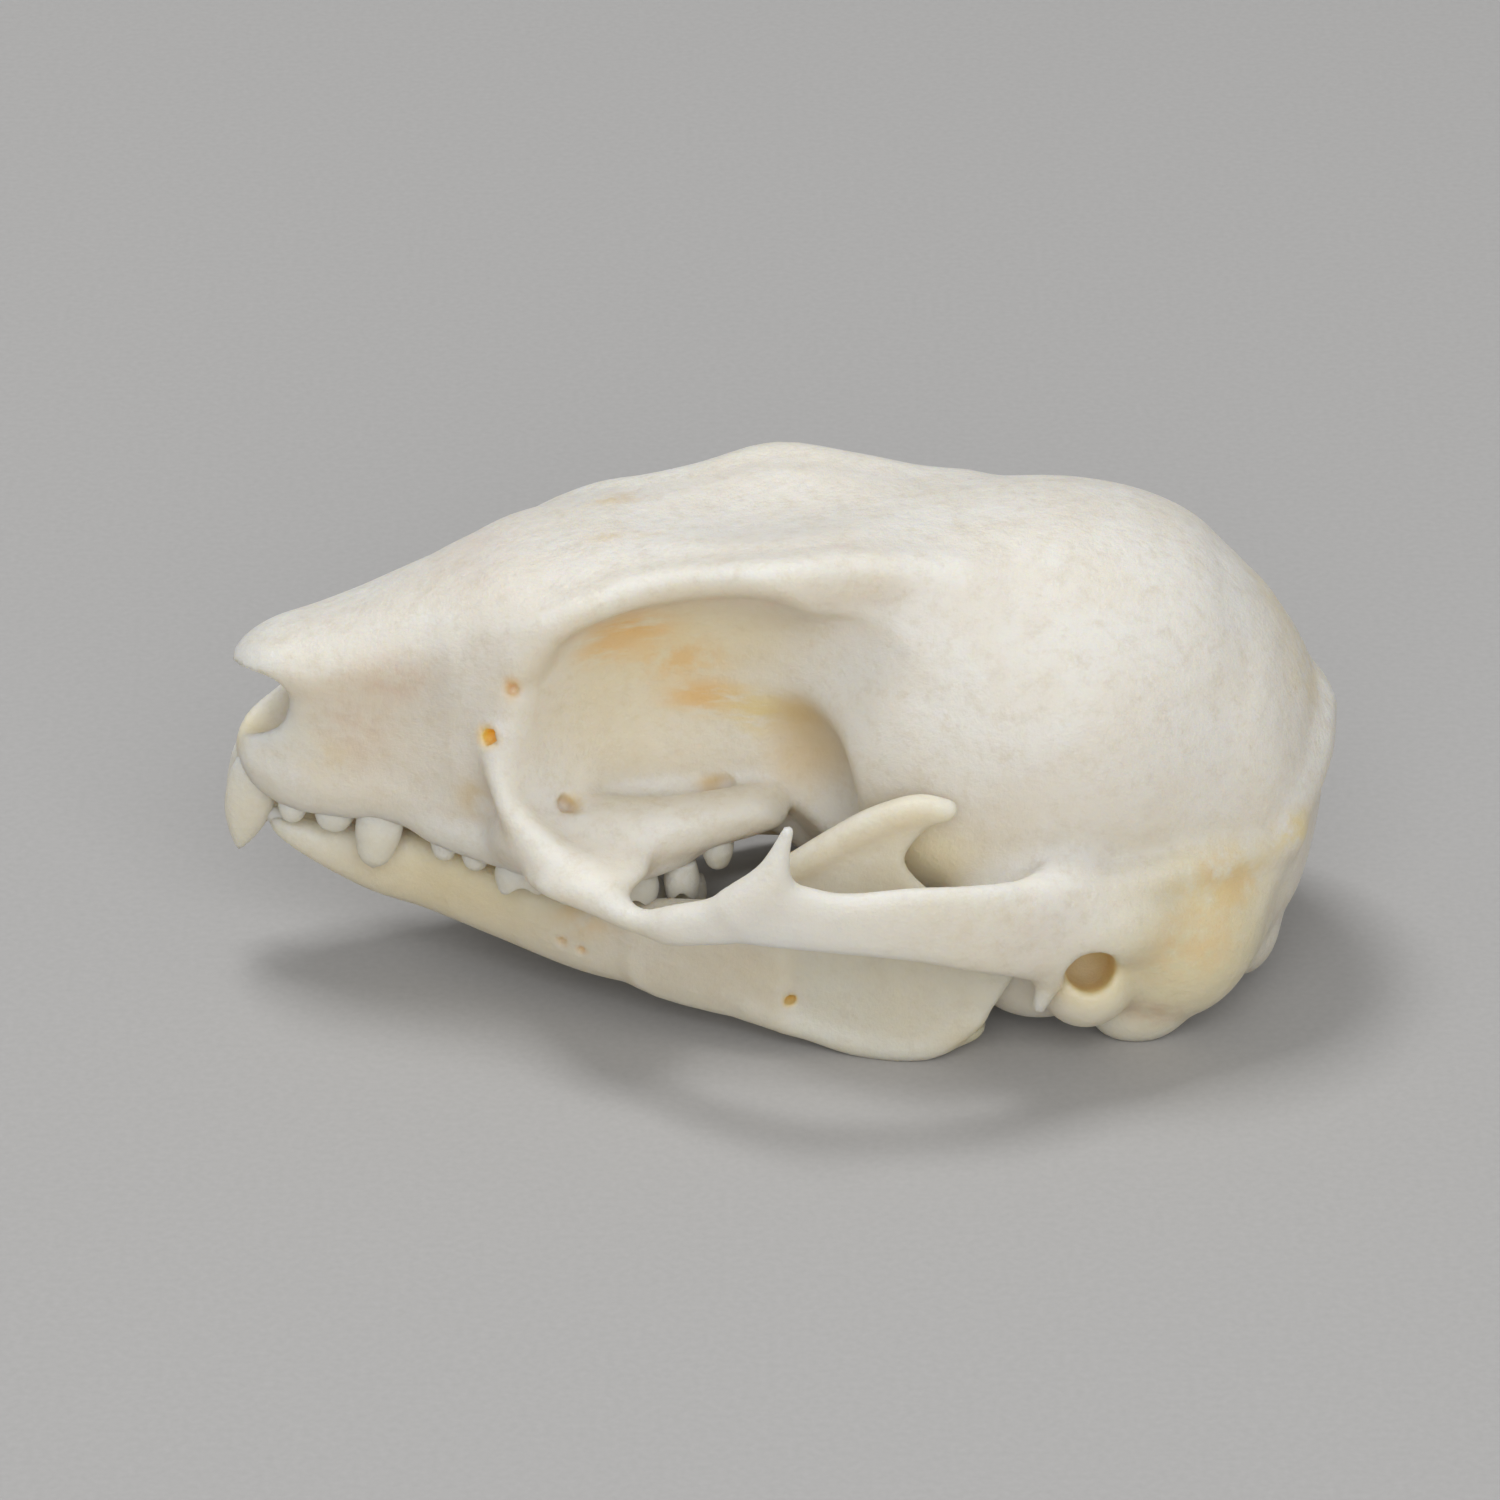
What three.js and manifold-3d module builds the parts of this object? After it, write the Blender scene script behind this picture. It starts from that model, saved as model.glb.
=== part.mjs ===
// The skull of a sugar glider, life size, jaw closed, resting on its jaw angles and the rear of its base.
// Millimetres. +X runs to the back of the head, the left side faces -Y, +Z is up and the floor is z = 0.
// Each bone is written as a field: a function of a point that is negative inside the bone, positive outside
// and roughly the distance in between. Fields are blended, meshed on a grid, cut apart and given their teeth.
import * as THREE from "three";
import { mergeVertices } from "three/addons/utils/BufferGeometryUtils.js";
import Module from "manifold-3d";

const wasm = await Module();
wasm.setup();

// Driving dimensions
const SEAM = 0.3; // gap that separate bones keep
const SNOUT_X = -20; // front of the nasal bones
const TEMPLE_X = 3.2; // where the forehead meets the braincase
const NAPE_X = 15.6; // where the braincase meets the occipital bone
const ARCH_Y = 11.9; // middle of the cheekbone, half the breadth of the head
const GUM_Z = 5.7; // where the upper cheek teeth leave the bone
const RIM_HEIGHT = 17.4; // the brow over the orbit
const COARSENESS = 1.08; // enlarges every meshing cell // enlarges every meshing cell

const BRAINCASE = { x: 9.8, z: 9.6, front: 10.2, rear: 9.0, breadth: 8.8, height: 8.3 };
const ORBIT = { x: -3.2, y: 9.8, z: 12.2, front: 7.4, rear: 5.4, depth: 7.0, height: 6.1, power: 2.5 };
const EAR = { x: 10.9, y: 9.1, z: 4.05, radius: 0.95 };

// Fields

const clamp = (v, low, high) => Math.min(Math.max(v, low), high);

// Union and intersection that round the corner between two fields over a width k.
function join(a, b, k) {
  const h = Math.max(k - Math.abs(a - b), 0) / k;
  return Math.min(a, b) - h * h * k * 0.25;
}
const meet = (a, b, k) => -join(-a, -b, k);
const cut = (a, b, k) => meet(a, -b, k);

// The field near its box. Further than NEARBY from the box, the distance to the box does instead.
const NEARBY = 2;
function boxed(field, low, high) {
  return (x, y, z) => {
    const off = Math.hypot(
      Math.max(low[0] - x, x - high[0], 0),
      Math.max(low[1] - y, y - high[1], 0),
      Math.max(low[2] - z, z - high[2], 0),
    );
    return off < NEARBY ? field(x, y, z) : off;
  };
}

// An ellipsoid with its long axis turned in the XZ plane. It may be longer towards the back than the front.
function ellipsoid([cx, cy, cz], [rx, ry, rz], tilt = 0, rear = rx) {
  const c = Math.cos((tilt * Math.PI) / 180);
  const s = Math.sin((tilt * Math.PI) / 180);
  const widest = Math.max(rx, rear, rz);
  const field = (x, y, z) => {
    const u = (x - cx) * c + (z - cz) * s;
    const v = y - cy;
    const w = (z - cz) * c - (x - cx) * s;
    const ru = u < 0 ? rx : rear;
    const near = Math.hypot(u / ru, v / ry, w / rz);
    const slope = Math.hypot(u / ru ** 2, v / ry ** 2, w / rz ** 2);
    return slope < 1e-9 ? -Math.min(ru, ry, rz) : (near * (near - 1)) / slope;
  };
  return boxed(field, [cx - widest, cy - ry, cz - widest], [cx + widest, cy + ry, cz + widest]);
}

function superellipsoid([cx, cy, cz], [rx, ry, rz], n, rear = rx) {
  const size = Math.min(rx, ry, rz);
  const field = (x, y, z) => {
    const ru = x < cx ? rx : rear;
    const sum = Math.abs((x - cx) / ru) ** n + Math.abs((y - cy) / ry) ** n + Math.abs((z - cz) / rz) ** n;
    return (sum ** (1 / n) - 1) * size;
  };
  return boxed(field, [cx - rx, cy - ry, cz - rz], [cx + rear, cy + ry, cz + rz]);
}

// The value a share t of the way from v1 to v2, with the slopes m1 and m2 there.
const hermite = (v1, m1, v2, m2, t) =>
  (2 * t ** 3 - 3 * t ** 2 + 1) * v1 +
  (t ** 3 - 2 * t ** 2 + t) * m1 +
  (3 * t ** 2 - 2 * t ** 3) * v2 +
  (t ** 3 - t ** 2) * m2;

// Points along a smooth curve through the given ones.
function openCurve(points, steps) {
  const last = points.length - 1;
  const before = points[0].map((v, c) => 2 * v - points[1][c]);
  const after = points[last].map((v, c) => 2 * v - points[last - 1][c]);
  const p = [before, ...points, after];
  const path = [];
  for (let i = 0; i < last; i++)
    for (let s = 0; s < steps; s++)
      path.push(
        p[i].map((_, c) =>
          hermite(
            p[i + 1][c],
            (p[i + 2][c] - p[i][c]) / 2,
            p[i + 2][c],
            (p[i + 3][c] - p[i + 1][c]) / 2,
            s / steps,
          ),
        ),
      );
  return [...path, points[last]];
}

// A round rod along a smooth curve through [x, y, z, radius] points.
function rod(points) {
  const path = openCurve(points, points.length > 2 ? 3 : 1);
  const ends = path.slice(1).map((end, i) => [path[i], end]);
  const field = (x, y, z) => {
    let least = Infinity;
    for (const [a, b] of ends) {
      const e = [b[0] - a[0], b[1] - a[1], b[2] - a[2]];
      const along = (x - a[0]) * e[0] + (y - a[1]) * e[1] + (z - a[2]) * e[2];
      const t = clamp(along / (e[0] ** 2 + e[1] ** 2 + e[2] ** 2), 0, 1);
      const off = Math.hypot(x - a[0] - t * e[0], y - a[1] - t * e[1], z - a[2] - t * e[2]);
      least = Math.min(least, off - (a[3] + t * (b[3] - a[3])));
    }
    return least;
  };
  const range = (axis, way) => Math[way](...path.map((p) => p[axis] + (way === "min" ? -p[3] : p[3])));
  return boxed(
    field,
    [0, 1, 2].map((axis) => range(axis, "min")),
    [0, 1, 2].map((axis) => range(axis, "max")),
  );
}

// Smooth values between rows sorted by their first column, as Catmull-Rom does.
function along(rows) {
  return (x) => {
    const last = rows.length - 1;
    let i = 0;
    while (i < last - 1 && x > rows[i + 1][0]) i++;
    const [r0, r1, r2, r3] = [rows[Math.max(i - 1, 0)], rows[i], rows[i + 1], rows[Math.min(i + 2, last)]];
    const step = r2[0] - r1[0];
    const t = clamp((x - r1[0]) / step, 0, 1);
    return r1.map((v1, c) => {
      const m1 = ((r2[c] - r0[c]) / (r2[0] - r0[0])) * step;
      const m2 = ((r3[c] - v1) / (r3[0] - r1[0])) * step;
      return hermite(v1, m1, r2[c], m2, t);
    });
  };
}

// A body along X through rows of [x, y, z, half width, half height], n times as square as an ellipse,
// and narrower upwards by the share taper.
function loft(rows, n = 2, taper = 0, round = 0.8) {
  const at = along(rows);
  const [first, last] = [rows[0][0], rows[rows.length - 1][0]];
  const field = (x, y, z) => {
    const [, cy, cz, w, h] = at(x);
    const wide = w * (1 - taper * clamp((z - cz) / h, -1, 1));
    const ratio = (Math.abs((y - cy) / wide) ** n + Math.abs((z - cz) / h) ** n) ** (1 / n);
    const side = (ratio - 1) * Math.min(wide, h);
    return meet(side, Math.max(first - x, x - last), round);
  };
  const reach = (row, c) => row[c + 2] * (1 + taper);
  return boxed(
    field,
    [first, ...[1, 2].map((c) => Math.min(...rows.map((row) => row[c] - reach(row, c))))],
    [last, ...[1, 2].map((c) => Math.max(...rows.map((row) => row[c] + reach(row, c))))],
  );
}

// Signed distance in a plane to a smooth closed outline through a few points.
function outline(points, steps = 5) {
  const curve = new THREE.CatmullRomCurve3(
    points.map(([a, b]) => new THREE.Vector3(a, b, 0)),
    true,
    "centripetal",
  );
  const path = curve.getPoints(points.length * steps).slice(0, -1);
  return (a, b) => {
    let inside = false;
    let least = Infinity;
    for (let i = 0, j = path.length - 1; i < path.length; j = i++) {
      const [p, q] = [path[i], path[j]];
      const ex = q.x - p.x;
      const ey = q.y - p.y;
      const t = clamp(((a - p.x) * ex + (b - p.y) * ey) / (ex * ex + ey * ey), 0, 1);
      least = Math.min(least, Math.hypot(a - p.x - t * ex, b - p.y - t * ey));
      if (p.y > b !== q.y > b && a < p.x + ((b - p.y) * ex) / ey) inside = !inside;
    }
    return inside ? -least : least;
  };
}

// The cranium is symmetrical, so every part of it is written for positive y.

const braincase = ellipsoid(
  [BRAINCASE.x, 0, BRAINCASE.z],
  [BRAINCASE.front, BRAINCASE.breadth, BRAINCASE.height],
  0,
  BRAINCASE.rear,
);
// Roof of the nose, forehead and braincase.
const crown = loft(
  [
    [-19.3, 0, 11.9, 1.0, 0.5],
    [-18.4, 0, 12.0, 1.3, 0.6],
    [-17, 0, 12.0, 1.9, 0.95],
    [-15.5, 0, 12.35, 2.3, 1.2],
    [-14, 0, 12.95, 2.6, 1.4],
    [-12, 0, 13.75, 3.0, 1.5],
    [-10, 0, 14.65, 3.8, 1.55],
    [-8, 0, 15.05, 4.3, 1.5],
    [-6.6, 0, 15.6, 4.45, 1.25],
    [-4.8, 0, 15.9, 4.3, 1.15],
    [-3, 0, 16.1, 4.3, 1.1],
    [-0.3, 0, 16.3, 4.7, 1.1],
    [2.5, 0, 16.05, 4.0, 1.5],
    [5, 0, 15.3, 4.1, 2.2],
    [8, 0, 14.4, 4.2, 3.0],
    [11, 0, 13.6, 4.4, 3.4],
    [13.5, 0, 12.9, 4.5, 3.6],
    [15.2, 0, 12.1, 4.2, 3.3],
    [16.4, 0, 11.2, 3.6, 1.6],
  ],
  2.5,
);
// Bone between the two orbits.
const orbitWall = loft(
  [
    [-11, 0, 11.0, 3.2, 3.4],
    [-8, 0, 11.6, 3.5, 4.2],
    [-4, 0, 12, 3.6, 4.8],
    [0, 0, 12, 3.6, 5],
    [5, 0, 11.5, 4.5, 5],
  ],
  3,
);
// The flat plate over the orbits.
const forehead = loft(
  [
    [-11.4, 0, 13.5, 2.6, 0.85],
    [-9.4, 0, 14.45, 3.6, 0.85],
    [-8, 0, 15.05, 4.45, 0.85],
    [-6.6, 0, 15.6, 4.65, 0.85],
    [-4.8, 0, 16.1, 4.3, 0.85],
    [-3, 0, 16.5, 4.4, 0.85],
    [-0.3, 0, 17.0, 4.95, 0.9],
    [2.5, 0, 16.85, 4.4, 1.05],
    [5, 0, 16.3, 4.2, 1.3],
    [7, 0, 15.8, 4.0, 1.5],
  ],
  6,
);
const muzzle = loft(
  [
    [-19.7, 0, 8.4, 1.0, 0.6],
    [-18.9, 0, 8.9, 1.6, 1.7],
    [-18, 0, 9.3, 2.1, 2.6],
    [-16.5, 0, 9.6, 2.55, 3.1],
    [-14, 0, 10.1, 3.1, 3.6],
    [-11.5, 0, 10.8, 4.1, 4.2],
    [-9, 0, 11.3, 5.5, 4.7],
    [-6.5, 0, 11.6, 6.1, 4.9],
  ],
  2.5,
  0.2,
);
const nasals = loft(
  [
    [SNOUT_X, 0, 11.5, 0.6, 0.25],
    [-19.7, 0, 11.7, 0.85, 0.28],
    [-19.2, 0, 11.95, 1.1, 0.33],
    [-18.4, 0, 12.25, 1.4, 0.45],
    [-17, 0, 12.35, 1.9, 0.7],
    [-12, 0, 13.8, 2.6, 1.1],
  ],
  2,
  0.1,
  0.3,
);
const palate = loft(
  [
    [-19.4, 0, 7.9, 1.1, 0.6],
    [-18, 0, 7.45, 2.0, 0.95],
    [-16.5, 0, 7.35, 2.6, 1.05],
    [-14.8, 0, 7.4, 3.0, 1.2],
    [-12, 0, 7.1, 3.6, 1.3],
    [-9.5, 0, 6.9, 4.7, 1.3],
    [-7, 0, 6.9, 5.5, 1.2],
    [-4.5, 0, 7.1, 5.7, 1.2],
    [-2, 0, 7.5, 5.2, 1.0],
    [-0.6, 0, 7.8, 4.4, 0.8],
  ],
  3,
);
// The ridge that carries the upper cheek teeth, and the floor of the orbit.
const alveolus = loft(
  [
    [-13.2, 2.7, 6.7, 0.5, 0.6],
    [-11.8, 3.3, 6.4, 0.65, 0.65],
    [-10.2, 4.1, 6.3, 0.75, 0.7],
    [-9.3, 4.5, 6.25, 0.8, 0.7],
    [-7.2, 5.2, 6.3, 0.85, 0.7],
    [-5.2, 5.4, 6.5, 0.8, 0.7],
    [-3.6, 5.05, 6.8, 0.75, 0.6],
    [-2.6, 4.7, 7.1, 0.5, 0.4],
  ],
  2.5,
);
const shelf = loft(
  [
    [-8.4, 4.6, 7.1, 1.1, 1.0],
    [-7, 4.8, 7.35, 1.2, 1.1],
    [-5.5, 5.0, 7.4, 1.3, 1.1],
    [-4, 5.0, 7.5, 1.25, 1.05],
    [-2.4, 4.7, 7.75, 1.15, 0.9],
    [-0.6, 4.2, 7.9, 1.0, 0.75],
    [0.4, 3.8, 7.9, 0.8, 0.6],
  ],
  2.4,
);
const skullBase = loft(
  [
    [-1.5, 0, 7.2, 2.2, 1.4],
    [2, 0, 6.2, 2.4, 1.6],
    [7, 0, 4.6, 3.2, 1.8],
    [12, 0, 3.6, 4.0, 2.0],
    [17, 0, 3.2, 4.0, 1.8],
  ],
  2.5,
);
const occiput = superellipsoid([15.5, 0, 7.0], [3.8, 6.4, 5.7], 2.4);
const nape = superellipsoid([15.0, 0, 8.3], [4.2, 5.9, 4.2], 2.5);
const condyle = ellipsoid([16.85, 2.9, 2.1], [1.1, 1.2, 1.7], -15);
const mastoid = ellipsoid([13.7, 6.2, 4.3], [3.3, 2.7, 3.7]);
const paroccipital = ellipsoid([12.7, 6.8, 0.85], [1.6, 0.9, 1.0]);
const squamosal = ellipsoid([9.8, 8.5, 5.8], [3.8, 2.1, 2.1]);
const lambdaCrest = rod([
  [19.4, 0, 9.9, 0.5],
  [19.1, 2.5, 9.4, 0.45],
  [18.2, 4.4, 8.4, 0.4],
  [17.4, 5.2, 7.2, 0.4],
  [16.4, 6.2, 5.4, 0.4],
  [15.2, 6.9, 4.0, 0.4],
]);
const earCrest = rod([
  [18.0, 5.2, 7.4, 0.4],
  [16, 6.9, 7.5, 0.35],
  [14.1, 8.0, 7.5, 0.35],
  [12.7, 8.6, 7.4, 0.35],
  [10.1, 9.5, 7.2, 0.35],
  [8.6, 10.3, 7.2, 0.35],
]);
const temporalLine = rod([
  [-9.1, 4.2, 13.9, 0.25],
  [-8.1, 4.4, 15.15, 0.28],
  [-6.6, 4.4, 15.95, 0.3],
  [-4.8, 3.95, 16.45, 0.3],
  [-3, 4.05, 16.85, 0.3],
  [-0.25, 4.65, 17.37, 0.32],
  [2.5, 3.95, 17.22, 0.34],
  [5, 3.45, 16.8, 0.35],
  [7.9, 3.3, 16.2, 0.35],
]);
const pterygoid = rod([
  [-0.8, 2.3, 7.2, 0.5],
  [1.6, 2.3, 5.2, 0.5],
  [3.4, 2.5, 4.4, 0.5],
]);
const orbit = superellipsoid(
  [ORBIT.x, ORBIT.y, ORBIT.z],
  [ORBIT.front, ORBIT.depth, ORBIT.height],
  ORBIT.power,
  ORBIT.rear,
);
const orbitRecess = ellipsoid([0.7, 4.9, 9.9], [3.0, 2.0, 1.7], -57);
const nostril = ellipsoid([-19.4, 0, 10.55], [2.1, 3.5, 1.2], 35);
const nasalNotch = superellipsoid([-20.2, 0, 10.5], [2.2, 3.5, 0.9], 3);
const nasalPassage = ellipsoid([-17.2, 0, 10.2], [3.6, 1.5, 1.6]);
const spinalOpening = ellipsoid([19.8, 0, 4.2], [3.6, 2.3, 2.0]);
const browHollow = ellipsoid([-1.5, 0, RIM_HEIGHT + 1.7], [5.5, 2.8, 1.6]);

// The cheekbone: a ridge down the front of the orbit, a bar under it and a plate back to the ear.
const cheekRidge = rod([
  [-10.2, 4.75, 11.0, 0.2],
  [-10.2, 5.2, 9.9, 0.24],
  [-9.7, 6.0, 8.7, 0.3],
  [-8.2, 7.2, 7.55, 0.36],
  [-6.8, 8.4, 6.75, 0.42],
  [-5.4, 9.6, 6.4, 0.45],
  [-3.9, 10.6, 6.6, 0.45],
  [-2.4, 11.2, 7.1, 0.45],
]);
const cheekRoot = ellipsoid([-8.4, 5.2, 7.7], [1.9, 1.6, 1.1], 30);
const cheekWeb = ellipsoid([-6.9, 7.1, 6.9], [2.1, 1.8, 0.65], 5);
const cheekPlate = loft(
  [
    [-4.4, 10.5, 6.6, 0.45, 0.5],
    [-2.4, ARCH_Y - 0.5, 7.3, 0.5, 0.75],
    [-0.3, ARCH_Y, 7.8, 0.5, 1.25],
    [2, ARCH_Y + 0.1, 7.5, 0.5, 1.15],
    [4.5, ARCH_Y, 7.4, 0.5, 1.4],
    [7, ARCH_Y - 0.6, 6.9, 0.55, 1.7],
    [9, ARCH_Y - 1.8, 6.3, 0.9, 1.9],
    [10.8, ARCH_Y - 3.2, 6.2, 1.3, 1.8],
  ],
  2.6,
);
const horn = rod([
  [-1.6, ARCH_Y - 0.2, 8.0, 0.6],
  [-0.5, ARCH_Y, 9.3, 0.45],
  [0.15, ARCH_Y, 11.1, 0.2],
]);
const postglenoid = rod([
  [9.7, 9.9, 5.2, 0.7],
  [9.4, 9.85, 3.9, 0.42],
  [9.1, 9.8, 2.95, 0.27],
]);

// The ear capsule and the short tube round the ear opening.
const bulla = ellipsoid([9.2, 6.0, 2.9], [2.7, 2.2, 2.3]);
const earTube = rod([
  [10.3, 6.2, 3.2, 1.5],
  [EAR.x - 0.1, EAR.y - 1.0, 3.1, 1.75],
]);
const earHole = rod([
  [EAR.x, EAR.y + 1, EAR.z + 0.4, EAR.radius],
  [EAR.x, EAR.y, EAR.z + 0.1, EAR.radius - 0.05],
  [EAR.x - 0.1, EAR.y - 1.0, EAR.z - 0.3, EAR.radius - 0.1],
]);

function cranium(x, y, z) {
  const side = Math.abs(y);
  const at = (field) => field(x, side, z);
  let d = join(at(braincase), join(at(crown), at(forehead), 0.6), 1.6);
  d = join(d, at(orbitWall), 1.6);
  d = join(d, at(muzzle), 1.6);
  d = join(d, at(nasals), 0.8);
  d = join(d, at(palate), 0.8);
  d = join(d, at(alveolus), 0.6);
  d = join(d, at(cheekRoot), 1.0);
  d = join(d, join(at(occiput), at(nape), 1.0), 1.6);
  d = cut(d, at(orbit), 0.8);
  d = join(d, at(temporalLine), 1.0);
  d = join(d, at(shelf), 0.35);
  d = cut(d, at(orbitRecess), 0.7);
  d = join(d, at(skullBase), 1.2);
  d = join(d, at(mastoid), 1.4);
  d = join(d, at(squamosal), 1.4);
  d = join(d, at(lambdaCrest), 1.2);
  d = join(d, at(earCrest), 0.9);
  d = join(d, at(pterygoid), 0.5);
  d = join(d, at(condyle), 0.5);
  d = join(d, at(paroccipital), 0.7);
  d = join(d, at(bulla), 0.5);
  d = join(d, at(earTube), 0.6);
  d = join(d, join(at(cheekRidge), at(cheekWeb), 1.2), 1.0);
  d = join(d, join(at(cheekPlate), at(horn), 0.8), 0.8);
  d = join(d, at(postglenoid), 0.4);
  d = cut(d, at(browHollow), 0.9);
  d = cut(d, join(at(nostril), at(nasalNotch), 0.6), 0.3);
  d = cut(d, at(nasalPassage), 0.4);
  d = cut(d, at(earHole), 0.3);
  return cut(d, at(spinalOpening), 0.5);
}

// One half of the lower jaw: a body that carries the teeth and a plate that rises behind it.
const jawBody = loft(
  [
    [-18.6, 0.8, 5.6, 0.4, 0.3],
    [-17.6, 0.95, 5.1, 0.6, 0.6],
    [-16.2, 1.05, 4.55, 0.7, 0.95],
    [-14.8, 1.25, 4.2, 0.8, 1.25],
    [-13, 1.7, 3.95, 0.85, 1.4],
    [-10.5, 3.0, 3.55, 0.95, 1.4],
    [-7, 4.9, 3.1, 0.95, 1.45],
    [-3.5, 6.2, 3.2, 0.9, 1.65],
    [0, 7.3, 3.1, 0.7, 1.75],
  ],
  2.4,
  0,
  0.4,
);
const ramusOutline = outline([
  [-5, 4.4],
  [-2.4, 5.3],
  [0.2, 7.6],
  [1.7, 8.9],
  [3.1, 10.0],
  [4.9, 10.7],
  [6.05, 10.4],
  [5.0, 9.5],
  [4.3, 8.1],
  [6.4, 6.2],
  [8.5, 6.2],
  [9.0, 5.4],
  [8.0, 3.2],
  [6.8, 1.3],
  [5.4, 0.4],
  [2.9, 0.3],
  [0.6, 0.85],
  [-5, 1.95],
]);
const ramusY = (x, z) => 7.4 + 0.27 * clamp(x, -5, 4) + 0.08 * clamp(x - 4, 0, 5) + 0.03 * (z - 4);
const RAMUS_HALF = 0.36; // half the thickness of the plate
const ramus = (x, y, z) => meet(ramusOutline(x, z), Math.abs(y - ramusY(x, z)) - RAMUS_HALF, 0.4);
const jawRim = rod([
  [-1, 7.2, 1.55, 0.4],
  [1.2, 7.75, 0.75, 0.4],
  [3.1, 8.15, 0.37, 0.42],
  [5.1, 8.35, 0.45, 0.4],
  [6.8, 8.4, 1.8, 0.35],
]);
const coronoidRim = rod([
  [-0.5, 7.8, 6.9, 0.4],
  [1.7, 8.25, 8.6, 0.4],
  [3.4, 8.7, 9.85, 0.36],
  [4.7, 8.8, 10.35, 0.3],
  [5.7, 8.85, 10.25, 0.2],
]);
const jawAngle = ellipsoid([5.0, 7.0, 0.55], [2.3, 1.6, 0.6]);
const jawCondyle = ellipsoid([8.6, 8.3, 5.8], [0.8, 1.5, 0.7]);
const jawField = (x, y, z) => {
  const side = -y;
  let d = join(jawBody(x, side, z), ramus(x, side, z), 0.9);
  d = join(d, jawRim(x, side, z), 0.6);
  d = join(d, coronoidRim(x, side, z), 0.6);
  d = join(d, jawAngle(x, side, z), 0.5);
  d = join(d, jawCondyle(x, side, z), 0.6);
  return d;
};

// Meshing

const CORNERS = [0, 1, 2, 3, 4, 5, 6, 7].map((c) => [c & 1, (c >> 1) & 1, (c >> 2) & 1]);
const EDGES = CORNERS.flatMap((_, a) => [1, 2, 4].filter((bit) => !(a & bit)).map((bit) => [a, a | bit]));
// Each face of a cell as its four corners in order round the face.
const FACES = [0, 1, 2].flatMap((axis) =>
  [0, 1].map((end) => {
    const [u, v, w] = [1 << ((axis + 1) % 3), 1 << ((axis + 2) % 3), end << axis];
    return [w, w | u, w | u | v, w | v];
  }),
);
const edgeOf = (a, b) => EDGES.findIndex(([p, q]) => (p === a && q === b) || (p === b && q === a));
const FACE_EDGES = FACES.map((face) => face.map((corner, i) => edgeOf(corner, face[(i + 1) % 4])));

// Groups the crossed edges of one cell into the separate sheets of surface that pass through it.
function sheets(values) {
  const group = EDGES.map(([a, b], i) => (values[a] < 0 !== values[b] < 0 ? i : -1));
  const merge = (a, b) => {
    const [keep, drop] = [group[a], group[b]];
    group.forEach((g, i) => {
      if (g === drop) group[i] = keep;
    });
  };
  FACES.forEach((face, f) => {
    const crossed = FACE_EDGES[f].filter((e) => group[e] >= 0);
    if (crossed.length === 2) merge(crossed[0], crossed[1]);
    if (crossed.length === 4) {
      const middle = face.reduce((sum, corner) => sum + values[corner], 0) < 0;
      const turn = middle === values[face[0]] < 0 ? 0 : 3;
      merge(FACE_EDGES[f][turn], FACE_EDGES[f][(turn + 1) % 4]);
      merge(FACE_EDGES[f][(turn + 2) % 4], FACE_EDGES[f][(turn + 3) % 4]);
    }
  });
  return group;
}

// Moves a point onto the surface of a field, by at most reach.
function settle(field, point, reach) {
  const step = 0.02;
  const start = point.clone();
  for (let pass = 0; pass < 3; pass++) {
    const { x, y, z } = point;
    const here = field(x, y, z);
    const slope = new THREE.Vector3(
      field(x + step, y, z) - field(x - step, y, z),
      field(x, y + step, z) - field(x, y - step, z),
      field(x, y, z + step) - field(x, y, z - step),
    ).divideScalar(2 * step);
    point.addScaledVector(slope, -here / Math.max(slope.lengthSq(), 0.1));
  }
  const moved = point.clone().sub(start).clampLength(0, reach);
  return point.copy(start).add(moved);
}

// Evens out the vertices along the surface, so that edges and rims run smoothly.
function relax(field, points, triangles, reach, passes) {
  const sums = points.map(() => new THREE.Vector3());
  const counts = new Uint16Array(points.length);
  for (let pass = 0; pass < passes; pass++) {
    sums.forEach((sum) => sum.set(0, 0, 0));
    counts.fill(0);
    for (let i = 0; i < triangles.length; i += 3)
      for (let corner = 0; corner < 3; corner++) {
        const [here, next] = [triangles[i + corner], triangles[i + ((corner + 1) % 3)]];
        sums[here].add(points[next]);
        counts[here]++;
      }
    points.forEach((point, i) => {
      point.lerp(sums[i].divideScalar(counts[i]), 0.5);
      settle(field, point, reach);
    });
  }
}

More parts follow.
